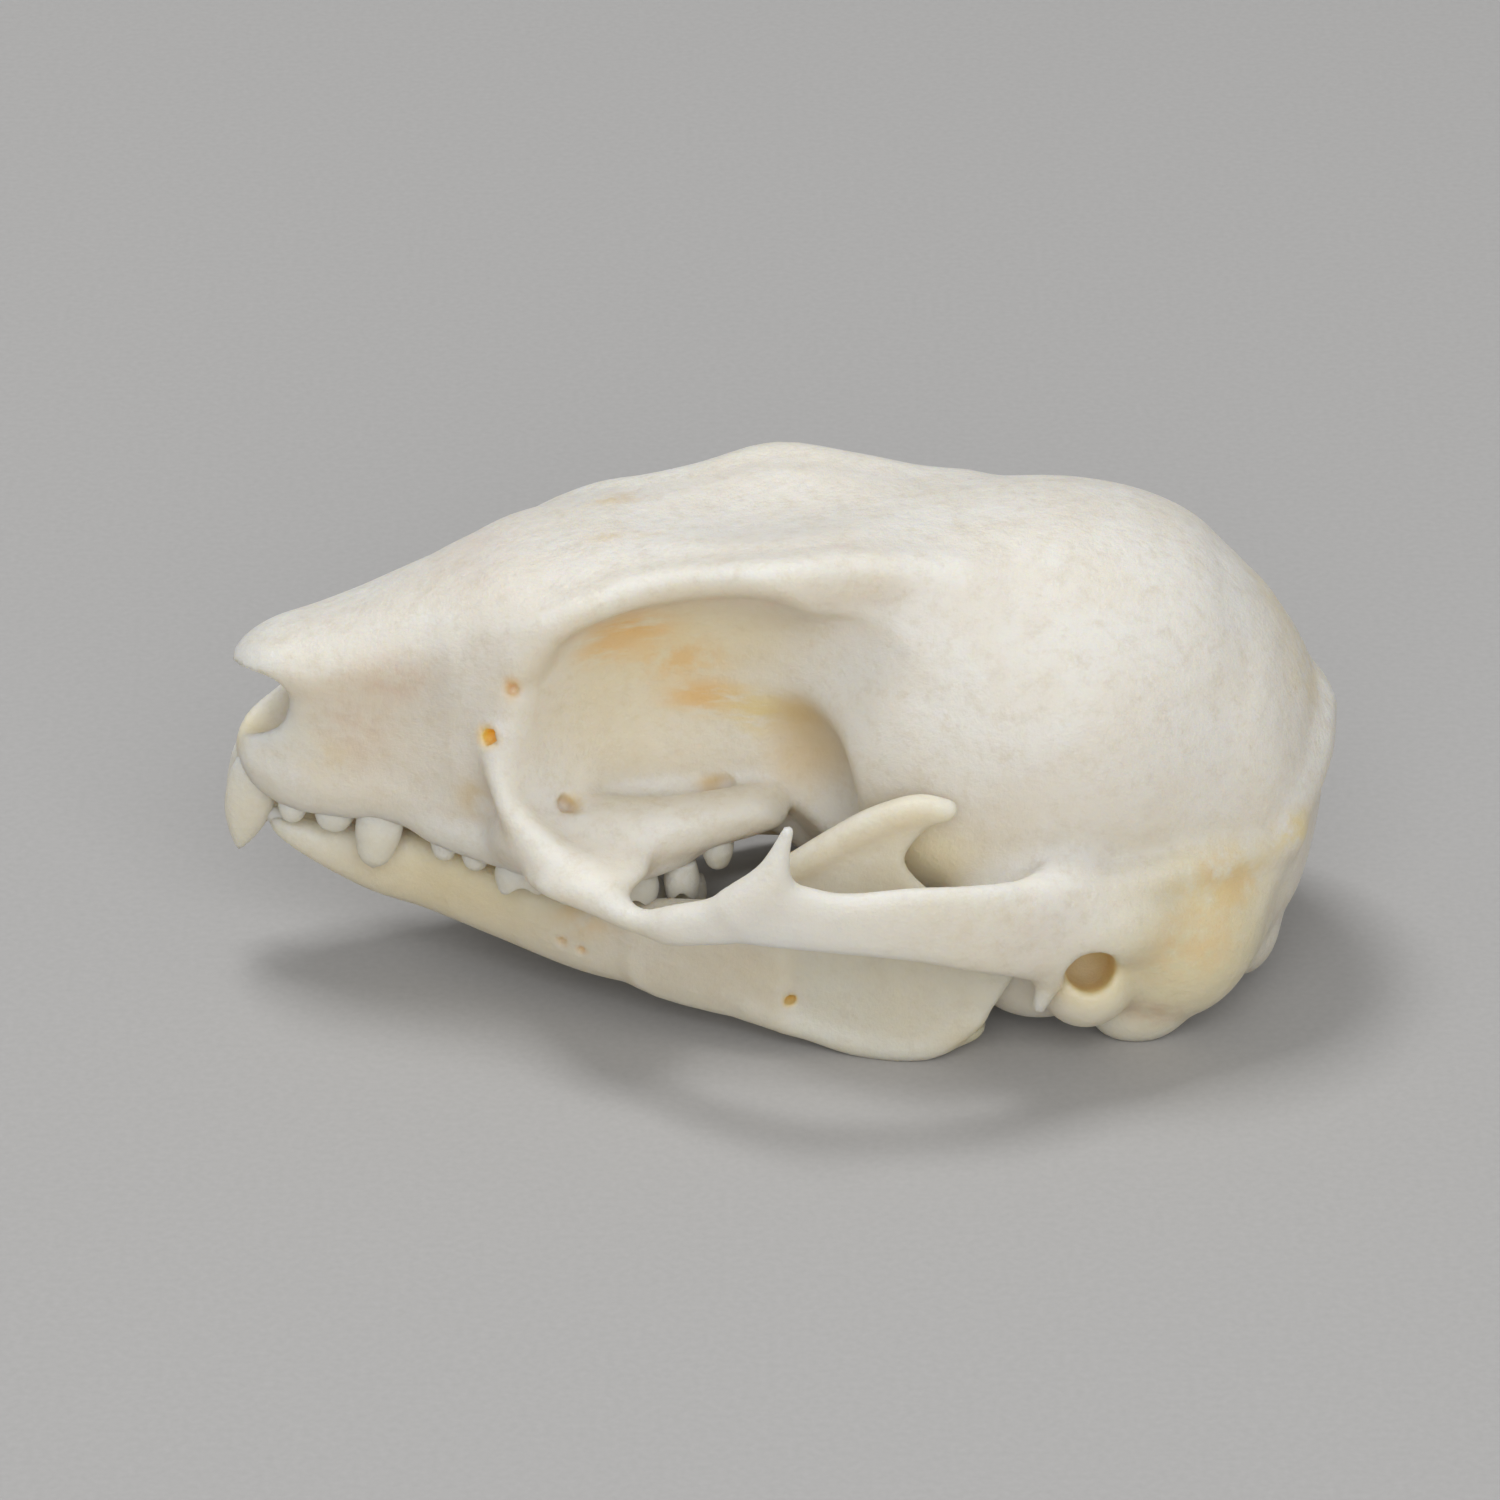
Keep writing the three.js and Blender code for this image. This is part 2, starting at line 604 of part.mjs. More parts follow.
// The closed surface where a field is zero, on a grid of cells [x, y, z], as a solid.
// It is closed off at the grid's border.
function solidOf(field, low, high, cells) {
  const cell = cells.map((v) => v * COARSENESS);
  const size = low.map((v, i) => Math.ceil((high[i] - v) / cell[i]) + 1);
  const reach = Math.min(...cell) * 0.3;
  const at = (i, j, k) => (k * size[1] + j) * size[0] + i;
  const onBorder = (...cellAt) => cellAt.some((n, axis) => n === 0 || n === size[axis] - 1);
  const values = new Float32Array(size[0] * size[1] * size[2]);
  for (let k = 0; k < size[2]; k++)
    for (let j = 0; j < size[1]; j++)
      for (let i = 0; i < size[0]; i++)
        values[at(i, j, k)] = onBorder(i, j, k)
          ? 1
          : field(low[0] + i * cell[0], low[1] + j * cell[1], low[2] + k * cell[2]);

  const points = [];
  const vertexOf = new Map();
  for (let k = 0; k < size[2] - 1; k++)
    for (let j = 0; j < size[1] - 1; j++)
      for (let i = 0; i < size[0] - 1; i++) {
        const v = CORNERS.map(([a, b, c]) => values[at(i + a, j + b, k + c)]);
        if (v.every((n) => n < 0) || v.every((n) => n >= 0)) continue;
        const group = sheets(v);
        for (const sheet of new Set(group.filter((g) => g >= 0))) {
          const point = new THREE.Vector3();
          let count = 0;
          EDGES.forEach(([a, b], e) => {
            if (group[e] !== sheet) return;
            const t = v[a] / (v[a] - v[b]);
            point.x += i + CORNERS[a][0] + t * (CORNERS[b][0] - CORNERS[a][0]);
            point.y += j + CORNERS[a][1] + t * (CORNERS[b][1] - CORNERS[a][1]);
            point.z += k + CORNERS[a][2] + t * (CORNERS[b][2] - CORNERS[a][2]);
            count++;
          });
          point.divideScalar(count).multiply(new THREE.Vector3(...cell)).add(new THREE.Vector3(...low));
          settle(field, point, reach);
          group.forEach((g, e) => {
            if (g === sheet) vertexOf.set(at(i, j, k) * 12 + e, points.length);
          });
          points.push(point);
        }
      }

  // One quad round each crossed edge of the grid.
  const quads = [];
  for (let k = 0; k < size[2] - 1; k++)
    for (let j = 0; j < size[1] - 1; j++)
      for (let i = 0; i < size[0] - 1; i++)
        for (let axis = 0; axis < 3; axis++) {
          const next = [i, j, k];
          next[axis]++;
          const inside = values[at(i, j, k)] < 0;
          if (inside === values[at(...next)] < 0) continue;
          const [u, v] = [(axis + 1) % 3, (axis + 2) % 3];
          const quad = [
            [0, 0],
            [1, 0],
            [1, 1],
            [0, 1],
          ].map(([du, dv]) => {
            const cellAt = [i, j, k];
            cellAt[u] -= du;
            cellAt[v] -= dv;
            const corner = (du << u) | (dv << v);
            return vertexOf.get(at(...cellAt) * 12 + edgeOf(corner, corner | (1 << axis)));
          });
          if (!inside) quad.reverse();
          quads.push(quad);
        }

  // Each quad is split along its shorter diagonal once its corners have settled.
  const split = () =>
    quads.flatMap(([a, b, c, d]) =>
      points[a].distanceTo(points[c]) < points[b].distanceTo(points[d])
        ? [a, b, c, a, c, d]
        : [a, b, d, b, c, d],
    );
  relax(field, points, split(), reach, 2);
  return new wasm.Manifold(
    new wasm.Mesh({
      numProp: 3,
      vertProperties: new Float32Array(points.flatMap((point) => point.toArray())),
      triVerts: new Uint32Array(split()),
    }),
  );
}

// A closed three.js geometry as a solid.
function solidFrom(geometry) {
  const bare = geometry.index ? geometry.toNonIndexed() : geometry.clone();
  bare.deleteAttribute("normal");
  bare.deleteAttribute("uv");
  const merged = mergeVertices(bare, 1e-4);
  return new wasm.Manifold(
    new wasm.Mesh({
      numProp: 3,
      vertProperties: merged.attributes.position.array,
      triVerts: new Uint32Array(merged.index.array),
    }),
  );
}

const largest = (solid) => solid.decompose().reduce((a, b) => (a.volume() > b.volume() ? a : b));
const joined = (solids) => solids.reduce((a, b) => a.add(b));
const common = (solids) => solids.reduce((a, b) => a.intersect(b));

// Half of space, as a block that starts at the plane through a point and lies along its normal.
const BLOCK_SIZE = 80;
function halfSpace(point, normal) {
  const geometry = new THREE.BoxGeometry(BLOCK_SIZE, BLOCK_SIZE, BLOCK_SIZE).translate(BLOCK_SIZE / 2, 0, 0);
  const turn = new THREE.Quaternion().setFromUnitVectors(
    new THREE.Vector3(1, 0, 0),
    new THREE.Vector3(...normal).normalize(),
  );
  return solidFrom(geometry.applyQuaternion(turn).translate(...point));
}

// The same, with its plane moved along the normal.
function beyond(point, normal, shift) {
  const unit = new THREE.Vector3(...normal).normalize().multiplyScalar(shift);
  return halfSpace(new THREE.Vector3(...point).add(unit), normal);
}
const back = (normal) => normal.map((v) => -v);

const bone = new THREE.MeshStandardMaterial({ color: 0xe9e4d6, roughness: 0.55, metalness: 0 });
const skull = new THREE.Group();

function addNode(name, solid, mirrored = false) {
  const mesh = largest(solid).getMesh();
  const geometry = new THREE.BufferGeometry();
  const positions = new Float32Array(mesh.vertProperties);
  const triangles = new Uint32Array(mesh.triVerts);
  if (mirrored) {
    for (let i = 1; i < positions.length; i += 3) positions[i] *= -1;
    for (let i = 0; i < triangles.length; i += 3)
      [triangles[i + 1], triangles[i + 2]] = [triangles[i + 2], triangles[i + 1]];
  }
  geometry.setAttribute("position", new THREE.BufferAttribute(positions, 3));
  geometry.setIndex(new THREE.BufferAttribute(triangles, 1));
  const node = new THREE.Mesh(geometry, bone.clone());
  node.name = name;
  skull.add(node);
}

// Teeth

// A tooth from its root to its tip, through rings of [share of the way, half length, half width].
// Cusps stand round the last ring, and the middle of the crown is lower than they are.
function tooth({ root, tip, rings, cusps = 0, rise = 0.1, grow = 0 }) {
  const sides = cusps > 0 ? 8 : 6;
  const from = new THREE.Vector3(...root);
  const way = new THREE.Vector3(...tip).sub(from);
  const further = 1 + grow / way.length();
  const front = new THREE.Vector3(1, 0, 0).addScaledVector(way, -way.x / way.lengthSq()).normalize();
  const across = new THREE.Vector3().crossVectors(way, front).normalize();
  const positions = [from];
  rings.forEach(([share, long, wide], r) => {
    for (let s = 0; s < sides; s++) {
      const turn = (2 * Math.PI * (s + 0.5)) / sides;
      const cusp = cusps > 0 && r === rings.length - 1 ? -rise * Math.cos(cusps * turn) : 0;
      positions.push(
        from
          .clone()
          .addScaledVector(way, (share + cusp) * further)
          .addScaledVector(front, (long + grow) * Math.cos(turn))
          .addScaledVector(across, (wide + grow) * Math.sin(turn)),
      );
    }
  });
  const end = rings[rings.length - 1][0] + (cusps > 0 ? -rise : rise);
  positions.push(from.clone().addScaledVector(way, end * further));
  const triangles = [];
  const last = positions.length - 1;
  for (let s = 0; s < sides; s++) {
    const next = (s + 1) % sides;
    triangles.push(0, 1 + next, 1 + s);
    for (let r = 0; r < rings.length - 1; r++) {
      const [a, b] = [1 + r * sides, 1 + (r + 1) * sides];
      triangles.push(a + s, a + next, b + s, a + next, b + next, b + s);
    }
    triangles.push(last, last - sides + s, last - sides + next);
  }
  return new wasm.Manifold(
    new wasm.Mesh({
      numProp: 3,
      vertProperties: new Float32Array(positions.flatMap((point) => point.toArray())),
      triVerts: new Uint32Array(triangles),
    }),
  );
}

// The rings of a pointed tooth and of a four-cusped one, each one unit long and wide.
const PEG = [
  [0, 0.42, 0.4],
  [0.55, 0.5, 0.5],
  [0.85, 0.32, 0.32],
];
const CROWN = [
  [0, 0.36, 0.34],
  [0.5, 0.47, 0.46],
  [0.9, 0.46, 0.44],
];
const sized = (rings, long, wide) => rings.map(([share, a, b]) => [share, a * long, b * wide]);

// The teeth of the left side. The four cheek teeth stand in a row from the orbit's front to its middle.
const CROWN_HEIGHT = 0.95;
const CHEEK_TEETH = [
  { x: -9.35, y: 4.5, long: 2.1, wide: 1.7 },
  { x: -7.25, y: 5.2, long: 2.0, wide: 1.8 },
  { x: -5.25, y: 5.4, long: 1.8, wide: 1.7 },
  { x: -3.6, y: 5.0, long: 1.4, wide: 1.4 },
];
const INCISOR = [
  [0, 0.5, 0.4],
  [0.22, 0.9, 0.55],
  [0.5, 0.93, 0.55],
  [0.66, 0.83, 0.5],
  [0.8, 0.58, 0.4],
  [0.92, 0.3, 0.26],
];
const SMALL_UPPER_TEETH = [
  { root: [-17.6, -1.5, 7.4], tip: [-17.75, -1.75, 5.85], long: 1.1, wide: 0.9 },
  { root: [-16.0, -1.9, 7.4], tip: [-16.3, -2.1, 5.65], long: 1.5, wide: 1.0 },
  { root: [-14.2, -2.3, 8.2], tip: [-14.85, -2.65, 4.3], long: 1.75, wide: 1.2 },
  { root: [-12.1, -3.0, 7.2], tip: [-12.2, -3.2, 5.0], long: 1.1, wide: 0.9 },
  { root: [-10.95, -3.5, 7.2], tip: [-11.05, -3.8, 4.9], long: 1.2, wide: 1.0 },
  { root: [-2.35, -4.75, 7.8], tip: [-2.3, -4.9, 5.6], long: 1.2, wide: 1.2 },
];

function upperTeeth(grow = 0) {
  const incisor = tooth({ root: [-18.8, -0.85, 8.6], tip: [-19.75, -0.7, 4.3], rings: INCISOR, grow });
  const small = SMALL_UPPER_TEETH.map(({ root, tip, long, wide }) =>
    tooth({ root, tip, rings: sized(PEG, long, wide), grow }),
  );
  const cheek = CHEEK_TEETH.map(({ x, y, long, wide }) =>
    tooth({
      root: [x, -y, GUM_Z + 0.5],
      tip: [x, -y, GUM_Z - CROWN_HEIGHT],
      rings: sized(CROWN, long, wide),
      cusps: 4,
      grow,
    }),
  );
  return [incisor, ...small, ...cheek];
}

// The lower cheek teeth bite inside the upper ones.
const OVERBITE = 1.4;
const JAW_GUM_Z = 3.4;
function lowerTeeth() {
  const incisor = tooth({ root: [-16.6, -1.0, 4.7], tip: [-19.0, -0.7, 6.1], rings: sized(PEG, 0.9, 0.7) });
  const cheek = CHEEK_TEETH.map(({ x, y, long, wide }) =>
    tooth({
      root: [x + 0.3, OVERBITE - y, JAW_GUM_Z],
      tip: [x + 0.3, OVERBITE - y, GUM_Z - CROWN_HEIGHT],
      rings: sized(CROWN, long * 0.9, wide * 0.8),
      cusps: 4,
    }),
  );
  return [incisor, ...cheek];
}

const mirror = (solid) => {
  const mesh = solid.getMesh();
  const positions = new Float32Array(mesh.vertProperties);
  const triangles = new Uint32Array(mesh.triVerts).reverse();
  for (let i = 1; i < positions.length; i += 3) positions[i] *= -1;
  return new wasm.Manifold(new wasm.Mesh({ numProp: 3, vertProperties: positions, triVerts: triangles }));
};

// Parting

const half = SEAM / 2;
const floor = halfSpace([0, 0, 0], [0, 0, 1]);
// The face ends at a slanted plane through the orbit, from the nose to the rear of the palate.
const FACE_PLANE = [
  [-5.2, 0, 11.6],
  [0.72, 0, 0.69],
];
// The left cheekbone lies outside a plane along the head and ends in front of the ear.
const CHEEK_PLANE = [
  [-7.5, -7.9, 0],
  [-0.074, -0.997, 0],
];
const CHEEK_REAR = 9.9;
const leftCheekSide = (grow) =>
  beyond(...CHEEK_PLANE, -grow).intersect(halfSpace([CHEEK_REAR + grow, 0, 0], [-1, 0, 0]));
// The left ear capsule is parted from the base by four planes.
const EAR_BLOCK = { front: 6.5, rear: 12.6, inner: -3.4, top: 4.7 };
const leftEarSide = (grow) =>
  common([
    halfSpace([EAR_BLOCK.front - grow, 0, 0], [1, 0, 0]),
    halfSpace([EAR_BLOCK.rear + grow, 0, 0], [-1, 0, 0]),
    halfSpace([0, EAR_BLOCK.inner + grow, 0], [0, -1, 0]),
    halfSpace([0, 0, EAR_BLOCK.top + grow], [0, 0, -1]),
  ]);
const sides = joined([leftCheekSide(half), leftEarSide(half)]);
const bothSides = sides.add(mirror(sides));

const faceTeeth = joined(upperTeeth());
const faceBone = solidOf(cranium, [-21, -8, 5], [1, 8, 18], [0.9, 0.8, 0.8])
  .intersect(beyond(...FACE_PLANE.map((v, i) => (i ? back(v) : v)), half))
  .subtract(bothSides);
addNode("face", joined([faceBone, faceTeeth, mirror(faceTeeth)]));
addNode(
  "forehead",
  common([
    solidOf(cranium, [-12, -8, 3], [5, 8, 19.5], [0.85, 0.75, 0.75]),
    beyond(...FACE_PLANE, half),
    halfSpace([TEMPLE_X - half, 0, 0], [-1, 0, 0]),
  ]).subtract(bothSides),
);
addNode(
  "braincase",
  common([
    solidOf(cranium, [1.5, -11, -1], [17.5, 11, 19.5], [1, 1, 1]),
    halfSpace([TEMPLE_X + half, 0, 0], [1, 0, 0]),
    halfSpace([NAPE_X - half, 0, 0], [-1, 0, 0]),
    floor,
  ]).subtract(bothSides),
);
addNode(
  "occiput",
  common([
    solidOf(cranium, [14, -9, -1], [21.5, 9, 17], [0.8, 0.95, 0.95]),
    halfSpace([NAPE_X + half, 0, 0], [1, 0, 0]),
    floor,
  ]),
);

const cheekSolid = solidOf(cranium, [-10, -14, 1.5], [12, -6.5, 12.5], [0.75, 0.45, 0.6]).intersect(
  leftCheekSide(-half),
);
const earSolid = common([
  solidOf(cranium, [5, -11, -1], [14, -2, 6.5], [0.6, 0.6, 0.6]),
  leftEarSide(-half),
  floor,
]).subtract(leftCheekSide(half));
const clearance = (x, y, z) => cranium(x, y, z) - SEAM;
const keepOut = solidOf(clearance, [-19, -13, 1], [11, 0.7, 12], [0.8, 0.7, 0.7]);
const jawBone = solidOf(jawField, [-19, -11, -1.5], [11, 1, 12.5], [0.85, 0.5, 0.75]);
const jawSolid = joined([jawBone, ...lowerTeeth()])
  .intersect(floor)
  .intersect(halfSpace([0, -half, 0], [0, -1, 0]))
  .subtract(keepOut)
  .subtract(joined(upperTeeth(SEAM)));
for (const [side, mirrored] of [
  ["left", false],
  ["right", true],
]) {
  addNode(`cheekbone_${side}`, cheekSolid, mirrored);
  addNode(`ear_capsule_${side}`, earSolid, mirrored);
  addNode(`lower_jaw_${side}`, jawSolid, mirrored);
}

export default skull;
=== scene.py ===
"""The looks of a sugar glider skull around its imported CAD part.

Each bone is a field: a function of points in millimetres that is negative inside the bone. Fields are
blended, meshed on a fine grid and moved onto their own surface, and the teeth are lofted onto their gums.
"""

import math

import bpy
import numpy as np
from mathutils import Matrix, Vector


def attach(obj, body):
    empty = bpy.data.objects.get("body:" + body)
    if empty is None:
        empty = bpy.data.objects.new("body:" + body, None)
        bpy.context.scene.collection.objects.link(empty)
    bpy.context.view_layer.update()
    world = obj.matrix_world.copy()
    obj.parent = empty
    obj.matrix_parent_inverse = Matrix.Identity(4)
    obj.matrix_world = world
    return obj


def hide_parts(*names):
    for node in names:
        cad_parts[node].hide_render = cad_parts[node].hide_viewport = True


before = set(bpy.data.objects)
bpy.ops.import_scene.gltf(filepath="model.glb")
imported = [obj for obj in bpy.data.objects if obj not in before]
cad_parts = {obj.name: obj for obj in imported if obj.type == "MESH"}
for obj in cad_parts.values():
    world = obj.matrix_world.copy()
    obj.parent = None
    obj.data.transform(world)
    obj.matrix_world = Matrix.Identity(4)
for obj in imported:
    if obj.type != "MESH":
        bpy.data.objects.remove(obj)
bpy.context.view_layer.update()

MM = 0.001

# Driving sizes, in millimetres, as in the CAD part
SNOUT_X = -20.0
ARCH_Y = 11.9
GUM_Z = 5.7
RIM_HEIGHT = 17.4
EAR_X, EAR_Y, EAR_Z, EAR_RADIUS = 10.9, 9.1, 4.05, 0.95
RAMUS_HALF = 0.36  # half the thickness of the plate at the rear of the jaw
HALVES_GAP = 0.12  # from the middle plane to each half of the jaw

REACH = 2.0  # a part's field is measured in full this near to its box
CRANIUM_BOX = ((-20.8, 0, -0.6), (21.0, 13.4, 19.2))
JAW_BOX = ((-18.6, -0.4, -0.6), (10.2, 11.0, 11.6))
CRANIUM_CELL = 0.19
JAW_CELL = 0.14


# Fields


def join(a, b, k):
    """Union of two fields with the corner between them rounded over a width k."""
    h = np.maximum(k - np.abs(a - b), 0) / k
    return np.minimum(a, b) - h * h * k * 0.25


def meet(a, b, k):
    return -join(-a, -b, k)


def cut(a, b, k):
    return meet(a, -b, k)


def boxed(field, low, high):
    """The field near its box. Further than REACH from the box the distance to the box does instead."""

    def near(x, y, z):
        sides = [np.maximum(np.maximum(low[a] - p, p - high[a]), 0) for a, p in enumerate((x, y, z))]
        off = np.sqrt(sides[0] ** 2 + sides[1] ** 2 + sides[2] ** 2)
        close = off < REACH
        off[close] = field(x[close], y[close], z[close])
        return off

    return near


def ellipsoid(centre, radii, tilt=0.0, rear=None):
    """An ellipsoid turned by tilt in the XZ plane, which may be longer towards the back."""
    cx, cy, cz = centre
    rx, ry, rz = radii
    c, s = math.cos(math.radians(tilt)), math.sin(math.radians(tilt))
    rear = rx if rear is None else rear
    widest = max(rx, rear, rz) if tilt else 0
    reach = (widest or max(rx, rear), ry, widest or rz)

    def field(x, y, z):
        u = (x - cx) * c + (z - cz) * s
        v = y - cy
        w = (z - cz) * c - (x - cx) * s
        ru = np.where(u < 0, rx, rear)
        near = np.sqrt((u / ru) ** 2 + (v / ry) ** 2 + (w / rz) ** 2)
        slope = np.sqrt((u / ru**2) ** 2 + (v / ry**2) ** 2 + (w / rz**2) ** 2)
        return np.where(slope < 1e-9, -min(rx, ry, rz), near * (near - 1) / np.maximum(slope, 1e-9))

    return boxed(field, [centre[a] - reach[a] for a in range(3)], [centre[a] + reach[a] for a in range(3)])


def superellipsoid(centre, radii, power, rear=None):
    cx, cy, cz = centre
    rx, ry, rz = radii
    size = min(radii)
    rear = rx if rear is None else rear

    def field(x, y, z):
        ru = np.where(x < cx, rx, rear)
        total = np.abs((x - cx) / ru) ** power + np.abs((y - cy) / ry) ** power
        total += np.abs((z - cz) / rz) ** power
        return (total ** (1 / power) - 1) * size

    return boxed(field, (cx - rx, cy - ry, cz - rz), (cx + rear, cy + ry, cz + rz))


def open_curve(points, steps):
    """Points along a smooth curve through the given ones."""
    p = np.array(points, dtype=float)
    p = np.concatenate([[2 * p[0] - p[1]], p, [2 * p[-1] - p[-2]]])
    path = []
    for p0, p1, p2, p3 in zip(p, p[1:], p[2:], p[3:]):
        m1, m2 = (p2 - p0) / 2, (p3 - p1) / 2
        for t in np.arange(steps) / steps:
            path.append(
                (2 * t**3 - 3 * t**2 + 1) * p1
                + (t**3 - 2 * t**2 + t) * m1
                + (3 * t**2 - 2 * t**3) * p2
                + (t**3 - t**2) * m2
            )
    return np.array([*path, p[-2]])


def rod(points, steps=4):
    """A round rod along a smooth curve through (x, y, z, radius) points."""
    path = open_curve(points, steps if len(points) > 2 else 1)

    def field(x, y, z):
        least = np.full(x.shape, np.inf)
        for a, b in zip(path, path[1:]):
            e = b - a
            along = (x - a[0]) * e[0] + (y - a[1]) * e[1] + (z - a[2]) * e[2]
            t = np.clip(along / (e[0] ** 2 + e[1] ** 2 + e[2] ** 2), 0, 1)
            off = (x - a[0] - t * e[0]) ** 2 + (y - a[1] - t * e[1]) ** 2 + (z - a[2] - t * e[2]) ** 2
            least = np.minimum(least, np.sqrt(off) - (a[3] + t * e[3]))
        return least

    widest = path[:, 3].max()
    return boxed(field, path[:, :3].min(axis=0) - widest, path[:, :3].max(axis=0) + widest)


def smooth_rows(rows):
    """Smooth values between rows sorted by their first column, as Catmull-Rom does."""
    table = np.array(rows, dtype=float)
    last = len(table) - 1

    def at(x):
        i = np.clip(np.searchsorted(table[:, 0], x, side="left") - 1, 0, last - 1)
        r0, r1 = table[np.maximum(i - 1, 0)], table[i]
        r2, r3 = table[i + 1], table[np.minimum(i + 2, last)]
        step = (r2[:, 0] - r1[:, 0])[:, None]
        t = np.clip((x - r1[:, 0])[:, None] / step, 0, 1)
        m1 = (r2 - r0) / (r2[:, :1] - r0[:, :1]) * step
        m2 = (r3 - r1) / (r3[:, :1] - r1[:, :1]) * step
        value = (2 * t**3 - 3 * t**2 + 1) * r1 + (t**3 - 2 * t**2 + t) * m1
        return value + (3 * t**2 - 2 * t**3) * r2 + (t**3 - t**2) * m2

    return at


def loft(rows, power=2.0, taper=0.0, rounding=0.8):
    """A body along X through rows of (x, y, z, half width, half height)."""
    at = smooth_rows(rows)
    first, last = rows[0][0], rows[-1][0]

    def field(x, y, z):
        row = at(x)
        cy, cz, w, h = row[:, 1], row[:, 2], row[:, 3], row[:, 4]
        wide = w * (1 - taper * np.clip((z - cz) / h, -1, 1))
        ratio = (np.abs((y - cy) / wide) ** power + np.abs((z - cz) / h) ** power) ** (1 / power)
        side = (ratio - 1) * np.minimum(wide, h)
        return meet(side, np.maximum(first - x, x - last), rounding)

    table = np.array(rows)
    half = table[:, 3:5] * (1 + taper)
    low = [first, *(table[:, 1:3] - half).min(axis=0)]
    high = [last, *(table[:, 1:3] + half).max(axis=0)]
    return boxed(field, low, high)


def closed_curve(points, steps=6):
    """Points along a smooth closed curve through the given ones (centripetal Catmull-Rom)."""
    p = np.array(points, dtype=float)
    path = []
    for i in range(len(p)):
        p0, p1, p2, p3 = (p[(i + n) % len(p)] for n in (-1, 0, 1, 2))
        d0, d1, d2 = (np.linalg.norm(b - a) ** 0.5 for a, b in ((p0, p1), (p1, p2), (p2, p3)))
        m1 = ((p1 - p0) / d0 - (p2 - p0) / (d0 + d1) + (p2 - p1) / d1) * d1
        m2 = ((p2 - p1) / d1 - (p3 - p1) / (d1 + d2) + (p3 - p2) / d2) * d1
        for t in np.arange(steps) / steps:
            path.append(
                (2 * t**3 - 3 * t**2 + 1) * p1
                + (t**3 - 2 * t**2 + t) * m1
                + (3 * t**2 - 2 * t**3) * p2
                + (t**3 - t**2) * m2
            )
    return np.array(path)


def outline(points):
    """Signed distance in a plane to a smooth closed outline."""
    path = closed_curve(points)

    def field(a, b):
        least = np.full(a.shape, np.inf)
        inside = np.zeros(a.shape, dtype=bool)
        for p, q in zip(path, np.roll(path, 1, axis=0)):
            e = q - p
            t = np.clip(((a - p[0]) * e[0] + (b - p[1]) * e[1]) / (e @ e), 0, 1)
            least = np.minimum(least, (a - p[0] - t * e[0]) ** 2 + (b - p[1] - t * e[1]) ** 2)
            if p[1] != q[1]:
                crosses = ((p[1] > b) != (q[1] > b)) & (a < p[0] + (b - p[1]) * e[0] / e[1])
                inside ^= crosses
        return np.where(inside, -1, 1) * np.sqrt(least)

    return field


# The cranium is symmetrical, so its parts are written for positive y.

braincase = ellipsoid((9.8, 0, 9.6), (10.2, 8.8, 8.3), rear=9.0)
crown = loft(
    [
        (-19.3, 0, 11.9, 1.0, 0.5),
        (-18.4, 0, 12.0, 1.3, 0.6),
        (-17, 0, 12.0, 1.9, 0.95),
        (-15.5, 0, 12.35, 2.3, 1.2),
        (-14, 0, 12.95, 2.6, 1.4),
        (-12, 0, 13.75, 3.0, 1.5),
        (-10, 0, 14.65, 3.8, 1.55),
        (-8, 0, 15.05, 4.3, 1.5),
        (-6.6, 0, 15.6, 4.45, 1.25),
        (-4.8, 0, 15.9, 4.3, 1.15),
        (-3, 0, 16.1, 4.3, 1.1),
        (-0.3, 0, 16.3, 4.7, 1.1),
        (2.5, 0, 16.05, 4.0, 1.5),
        (5, 0, 15.3, 4.1, 2.2),
        (8, 0, 14.4, 4.2, 3.0),
        (11, 0, 13.6, 4.4, 3.4),
        (13.5, 0, 12.9, 4.5, 3.6),
        (15.2, 0, 12.1, 4.2, 3.3),
        (16.4, 0, 11.2, 3.6, 1.6),
    ],
    2.5,
)
orbit_wall = loft(
    [
        (-11, 0, 11.0, 3.2, 3.4),
        (-8, 0, 11.6, 3.5, 4.2),
        (-4, 0, 12, 3.6, 4.8),
        (0, 0, 12, 3.6, 5),
        (5, 0, 11.5, 4.5, 5),
    ],
    3,
)
forehead = loft(
    [
        (-11.4, 0, 13.5, 2.6, 0.85),
        (-9.4, 0, 14.45, 3.6, 0.85),
        (-8, 0, 15.05, 4.45, 0.85),
        (-6.6, 0, 15.6, 4.65, 0.85),
        (-4.8, 0, 16.1, 4.3, 0.85),
        (-3, 0, 16.5, 4.4, 0.85),
        (-0.3, 0, 17.0, 4.95, 0.9),
        (2.5, 0, 16.85, 4.4, 1.05),
        (5, 0, 16.3, 4.2, 1.3),
        (7, 0, 15.8, 4.0, 1.5),
    ],
    6,
)
muzzle = loft(
    [
        (-19.7, 0, 8.4, 1.0, 0.6),
        (-18.9, 0, 8.9, 1.6, 1.7),
        (-18, 0, 9.3, 2.1, 2.6),
        (-16.5, 0, 9.6, 2.55, 3.1),
        (-14, 0, 10.1, 3.1, 3.6),
        (-11.5, 0, 10.8, 4.1, 4.2),
        (-9, 0, 11.3, 5.5, 4.7),
        (-6.5, 0, 11.6, 6.1, 4.9),
    ],
    2.5,
    0.2,
)
